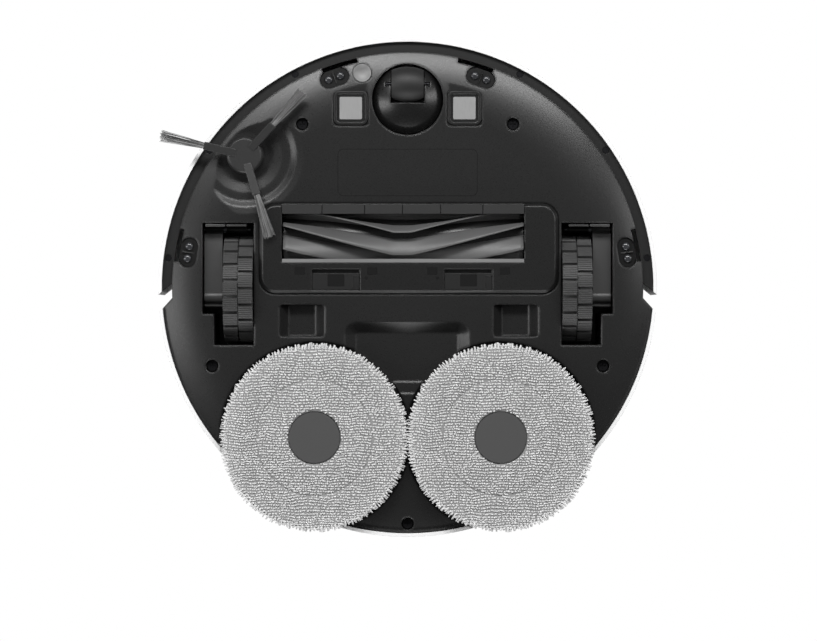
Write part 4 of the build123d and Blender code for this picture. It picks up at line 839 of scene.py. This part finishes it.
# ---------------------------------------------------------------- tyres
def lug_mesh(x0, x1, base_r, tip_r, arc, ribs):
    """One tread lug whose face has fine ribs along the axle."""
    outline = [(-arc / 2 * 1.04, base_r)]
    for k in range(ribs):
        start = -arc / 2 + arc * k / ribs
        step = arc / ribs
        outline += [(start + step * 0.06, tip_r - 0.34 * MM), (start + step * 0.24, tip_r),
                    (start + step * 0.76, tip_r), (start + step * 0.94, tip_r - 0.34 * MM)]
    outline.append((arc / 2 * 1.04, base_r))
    verts = [(x, r * math.sin(a), r * math.cos(a)) for x in (x0, x1) for a, r in outline]
    n = len(outline)
    faces = [tuple(range(n)), tuple(reversed(range(n, 2 * n)))]
    faces += [(k, (k + 1) % n, n + (k + 1) % n, n + k) for k in range(n)]
    return outward(mesh_from("lug", verts, faces, smooth=False))


def tread_tree():
    """Two rows of lugs round a wheel, half a pitch apart, on a plain carcass."""
    tree, group, out = new_tree("tread", [
        ("Centre", "NodeSocketVector", (0, 0, 0)), ("Count", "NodeSocketInt", 20),
        ("Row Pitch", "NodeSocketFloat", 10 * MM), ("Carcass", "NodeSocketObject", None),
        ("Material", "NodeSocketMaterial", None)])
    line = add(tree, "GeometryNodeMeshLine", {"Count": group["Count"], "Offset": (0, 0, 0)})
    index = add(tree, "GeometryNodeInputIndex")
    step = add(tree, "ShaderNodeMath", {0: 2 * math.pi, 1: group["Count"]}, operation="DIVIDE")
    rows = add(tree, "GeometryNodeJoinGeometry")
    for row in (0, 1):
        ahead = add(tree, "ShaderNodeMath", {0: index, 1: 0.5 * row}, operation="ADD")
        angle = add(tree, "ShaderNodeMath", {0: ahead, 1: step}, operation="MULTIPLY")
        turn = add(tree, "ShaderNodeCombineXYZ", {0: angle})
        lugs = add(tree, "GeometryNodeInstanceOnPoints", {
            "Points": line, "Instance": group["Geometry"], "Rotation": turn})
        aside = add(tree, "ShaderNodeMath", {0: group["Row Pitch"], 1: float(row)}, operation="MULTIPLY")
        shift = add(tree, "ShaderNodeCombineXYZ", {0: aside})
        moved = add(tree, "GeometryNodeTransform", {"Geometry": lugs, "Translation": shift})
        plug(tree, rows, {0: moved})
    drum = add(tree, "GeometryNodeObjectInfo", {"Object": group["Carcass"]}).outputs["Geometry"]
    plug(tree, rows, {0: drum})
    placed = add(tree, "GeometryNodeTransform", {"Geometry": rows, "Translation": group["Centre"]})
    finish_tree(tree, placed, group, out, smooth=False)
    return tree


class ROBOT_OT_tyres(bpy.types.Operator):
    """Rubber tyres with two rows of ribbed lugs"""
    bl_idname = "robot.tyres"
    bl_label = "Tyres"

    def execute(self, context):
        setup = context.scene.robot_tyres
        tree = tread_tree()
        for side in ("left", "right"):
            low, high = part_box(f"wheel_tyre_{side}")
            axle = (low + high) / 2
            tip_r = (high.z - low.z) / 2
            base_r = tip_r - setup.depth
            arc = 2 * math.pi / setup.lugs * setup.share
            width = high.x - low.x
            row_width = 9.9 * MM
            lug = lug_mesh(0.0, row_width, base_r - 0.5 * MM, tip_r, arc, setup.ribs)
            hub_r = 29.05 * MM      # the tyre's seat on its hub
            drum = bpy.data.objects.new("carcass", lathe("carcass", [
                (hub_r, 0.2 * MM), (base_r - 0.6 * MM, 0.2 * MM), (base_r, 0.8 * MM), (base_r, width - 0.8 * MM),
                (base_r - 0.6 * MM, width - 0.2 * MM), (hub_r, width - 0.2 * MM)], (0, 0, 0), 96, axis="X"))
            context.scene.collection.objects.link(drum)
            tyre = bake(f"wheel_tyre_ribbed_{side}", lug, tree, {
                "Centre": (low.x, axle.y, axle.z), "Count": setup.lugs, "Row Pitch": width - row_width,
                "Carcass": drum},
                f"wheel_{side}", FINISH["tyre"])
            bpy.data.objects.remove(drum)
            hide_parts(f"wheel_tyre_{side}")
        return {"FINISHED"}


# ---------------------------------------------------------------- small trim
def rounded_outline(half_x, half_y, corner, steps=6):
    points = []
    for cx, cy, start in ((1, 1, 0), (-1, 1, 90), (-1, -1, 180), (1, -1, 270)):
        for k in range(steps + 1):
            angle = math.radians(start + 90 * k / steps)
            points.append((cx * (half_x - corner) + corner * math.cos(angle),
                           cy * (half_y - corner) + corner * math.sin(angle)))
    return points


def rounded_frame(name, outer, inner, low, high, lip):
    """A flat frame between two rounded outlines, (half x, half y, corner), with softened lower edges."""
    rings = []
    for size, z, shrink in ((outer, high, 0), (outer, low + lip, 0), (outer, low, lip), (inner, low, -lip),
                            (inner, low + lip, 0), (inner, high, 0)):
        rings.append([(x, y, z) for x, y in rounded_outline(
            size[0] - shrink, size[1] - shrink, max(size[2] - shrink, 0.1 * MM))])
    n = len(rings[0])
    verts = [point for ring in rings for point in ring]
    faces = []
    for a in range(6):
        b = (a + 1) % 6
        for k in range(n):
            m = (k + 1) % n
            faces.append((a * n + k, a * n + m, b * n + m, b * n + k))
    return outward(mesh_from(name, verts, faces, smooth=False))


def rounded_plate(name, half_x, half_y, corner, low, high, lip, steps=6):
    """A flat plate with rounded corners and a softened lower edge."""
    rings = [[(x, y, z) for x, y in rounded_outline(half_x - cut, half_y - cut, max(corner - cut, 0.1 * MM), steps)]
             for z, cut in ((high, 0), (low + lip, 0), (low, lip))]
    n = len(rings[0])
    verts = [point for ring in rings for point in ring]
    faces = [tuple(range(n)), tuple(reversed(range(2 * n, 3 * n)))]
    for a in range(2):
        for k in range(n):
            m = (k + 1) % n
            faces.append((a * n + k, a * n + m, (a + 1) * n + m, (a + 1) * n + k))
    return outward(mesh_from(name, verts, faces, smooth=False))


def dome_mesh(name, r, height, sink):
    """A low dome that points down, closed at its back."""
    work = bmesh.new()
    bmesh.ops.create_uvsphere(work, u_segments=24, v_segments=14, radius=1.0)
    for vert in work.verts:
        vert.co.z = -abs(vert.co.z) * height if vert.co.z < 0 else sink
        vert.co.x *= r
        vert.co.y *= r
    bmesh.ops.remove_doubles(work, verts=work.verts, dist=1e-7)
    mesh = bpy.data.meshes.new(name)
    work.to_mesh(mesh)
    work.free()
    mesh.shade_smooth()
    return outward(mesh)


def spots_tree():
    """One copy of a piece at each point, turned about Z by the point's own angle."""
    tree, group, out = new_tree("copies_at_points", [
        ("Piece", "NodeSocketObject", None), ("Material", "NodeSocketMaterial", None)])
    piece = add(tree, "GeometryNodeObjectInfo", {"Object": group["Piece"]}).outputs["Geometry"]
    angle = add(tree, "GeometryNodeInputNamedAttribute", {"Name": "turn"}, data_type="FLOAT")
    turn = add(tree, "ShaderNodeCombineXYZ", {2: angle})
    placed = add(tree, "GeometryNodeInstanceOnPoints", {
        "Points": group["Geometry"], "Instance": piece, "Rotation": turn})
    finish_tree(tree, placed, group, out, smooth=False)
    return tree


def copies(name, tree, mesh, spots, body, finish):
    """Bakes copies of a mesh at (x, y, z, turn) spots."""
    points = mesh_from(name + "_points", [spot[:3] for spot in spots], [], smooth=False)
    turn = points.attributes.new("turn", "FLOAT", "POINT")
    turn.data.foreach_set("value", [spot[3] for spot in spots])
    piece = bpy.data.objects.new(name + "_piece", mesh)
    bpy.context.scene.collection.objects.link(piece)
    made = bake(name, points, tree, {"Piece": piece}, body, FINISH[finish])
    bpy.data.objects.remove(piece)
    return made


class ROBOT_OT_trim(bpy.types.Operator):
    """Frames, lenses, small plates and marks of the underside"""
    bl_idname = "robot.trim"
    bl_label = "Trim"

    def execute(self, context):
        tree = spots_tree()
        base_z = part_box("base_plate")[0].z
        # The carpet sensor is a shallow bowl.
        low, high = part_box("carpet_sensor")
        spot = (low + high) / 2
        rim = (high.x - low.x) / 2
        reach = math.radians(52.0)
        ball = (rim - 0.25 * MM) / math.sin(reach)
        bowl = [(0.0, low.z + 4.2 * MM), (rim, low.z + 4.2 * MM), (rim, low.z + 0.1 * MM)]
        for k in range(13):
            angle = reach * (1 - k / 12)
            bowl.append((ball * math.sin(angle), low.z + ball * (math.cos(angle) - math.cos(reach))))
        dish = piece_of("carpet_sensor_bowl", lathe("carpet_sensor_bowl", bowl, (spot.x, spot.y, 0), 64),
                        "chassis", FINISH["dish"])
        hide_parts("carpet_sensor")

        # Raised frames round the charging contacts, inside their recesses.
        plates = loose_boxes("charge_contacts")
        spots = [((lo.x + hi.x) / 2, (lo.y + hi.y) / 2, 0.0, 0.0) for lo, hi in plates]
        frame_mesh = rounded_frame("contact_frame", (12.1 * MM, 12.1 * MM, 4.6 * MM),
                                   (9.6 * MM, 9.6 * MM, 2.4 * MM), base_z + 0.25 * MM, base_z + 1.38 * MM, 0.5 * MM)
        copies("contact_frames", tree, frame_mesh, spots, "chassis", "dark_chassis")

        # Two clear lenses in each cliff sensor, and a divider between them.
        solids = loose_boxes("cliff_sensors")
        lenses = [b for b in solids if max(b[1].x - b[0].x, b[1].y - b[0].y) < 8 * MM]
        spots = []
        for lo, hi in lenses:
            mid = (lo + hi) / 2
            spots.append((mid.x, mid.y, lo.z + 0.2 * MM, 0.0))
        copies("sensor_lenses", tree, dome_mesh("lens", 2.75 * MM, 1.5 * MM, 0.1 * MM), spots,
               "chassis", "lens")
        holders = [b for b in solids if max(b[1].x - b[0].x, b[1].y - b[0].y) > 12 * MM]
        spots = []
        for lo, hi in holders:
            mid = (lo + hi) / 2
            spots.append((mid.x, mid.y, lo.z - 0.15 * MM, math.atan2(mid.x, -mid.y)))
        divider = rounded_plate("divider", 0.45 * MM, 4.6 * MM, 0.4 * MM, 0, 1.6 * MM, 0.2 * MM)
        copies("sensor_dividers", tree, divider, spots, "chassis", "dark_gloss")

        # Square marks on both sides of each latch.
        low_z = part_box("brush_cover")[0].z
        spots = []
        for side in ("left", "right"):
            mid = centre(f"latch_{side}")
            spots += [(mid.x + aside, mid.y - 7.4 * MM, low_z, 0.0) for aside in (-25.4 * MM, 25.4 * MM)]
        mark = rounded_plate("mark", 3.5 * MM, 2.6 * MM, 0.5 * MM, -0.22 * MM, 0.4 * MM, 0.15 * MM)
        copies("cover_marks", tree, mark, spots, "brush_cover", "sensor_and_shade_black")

        # A black plate painted as the shade in each latch's thumb pocket, and two black discs painted as the shade in
        # two pinholes between them.
        for side in ("left", "right"):
            low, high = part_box(f"latch_{side}")
            pocket_shade = rounded_plate("pocket_shade", 5.9 * MM, 4.2 * MM, 0.8 * MM, low.z - 0.08 * MM, low.z + 0.3 * MM,
                                   0.04 * MM)
            copies(f"latch_pocket_{side}", tree, pocket_shade, [((low.x + high.x) / 2, low.y + 5.0 * MM, 0.0, 0.0)],
                   f"latch_{side}", "sensor_and_shade_black")
        # Black discs: painted shade of the pinholes.
        hole = rounded_plate("pinhole_shade", 1.1 * MM, 1.1 * MM, 1.05 * MM, low_z - 0.08 * MM, low_z + 0.3 * MM,
                             0.04 * MM)
        copies("mould_marks", tree, hole, [(-29 * MM, -6.6 * MM, 0.0, 0.0), (21 * MM, -6.6 * MM, 0.0, 0.0)],
               "brush_cover", "sensor_and_shade_black")

        # A hinge bar in two halves across the front end of each wheel well.
        bar = rounded_plate("hinge_bar", 7.1 * MM, 1.0 * MM, 0.6 * MM, base_z + 1.6 * MM, base_z + 4.6 * MM, 0.5 * MM)
        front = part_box("wheel_arm_left")[0].y + 1.1 * MM
        copies("hinge_bars", tree, bar, [(x * MM, front, 0.0, 0.0) for x in (-134.7, -119.9, 119.9, 134.7)],
               "chassis", "hinge")

        # A thin near-black ring, standing a little proud, painted as the shade in the groove round the blank label
        # field.
        field = rounded_frame("label_outline", (49 * MM, 16.5 * MM, 4 * MM), (48.6 * MM, 16.1 * MM, 3.6 * MM),
                              base_z - 0.06 * MM, base_z + 0.2 * MM, 0.05 * MM)
        copies("label_outline", tree, field, [(0.0, -80.5 * MM, 0.0, 0.0)], "chassis", "sensor_and_shade_black")
        return {"FINISHED"}


# ---------------------------------------------------------------- panel
class ROBOT_PT_panel(bpy.types.Panel):
    """Sizes, colours and steps of the robot"""
    bl_idname = "ROBOT_PT_panel"
    bl_label = "Robot vacuum"
    bl_space_type = "VIEW_3D"
    bl_region_type = "UI"
    bl_category = "Robot"

    def draw(self, context):
        for name in GROUPS:
            group = getattr(context.scene, name)
            for key in group.__annotations__:
                self.layout.prop(group, key)
        for operator in OPERATORS:
            self.layout.operator(operator.bl_idname)


GROUPS = {"robot_look": RobotLook, "robot_pads": RobotPads, "robot_brushes": RobotBrushes,
          "robot_tyres": RobotTyres, "robot_stage": RobotStage}
OPERATORS = (ROBOT_OT_stage, ROBOT_OT_finishes, ROBOT_OT_pads, ROBOT_OT_side_brush, ROBOT_OT_main_brush,
             ROBOT_OT_tyres, ROBOT_OT_trim)


def register():
    for group in GROUPS.values():
        bpy.utils.register_class(group)
    for operator in OPERATORS:
        bpy.utils.register_class(operator)
    bpy.utils.register_class(ROBOT_PT_panel)
    for name, group in GROUPS.items():
        setattr(bpy.types.Scene, name, PointerProperty(type=group))


def unregister():
    for name in GROUPS:
        delattr(bpy.types.Scene, name)
    bpy.utils.unregister_class(ROBOT_PT_panel)
    for operator in reversed(OPERATORS):
        bpy.utils.unregister_class(operator)
    for group in reversed(list(GROUPS.values())):
        bpy.utils.unregister_class(group)


def main():
    register()
    bpy.ops.robot.stage()
    bpy.ops.robot.finishes()
    bpy.ops.robot.pads()
    bpy.ops.robot.side_brush()
    bpy.ops.robot.main_brush()
    bpy.ops.robot.tyres()
    bpy.ops.robot.trim()


if __name__ == "__main__":
    main()
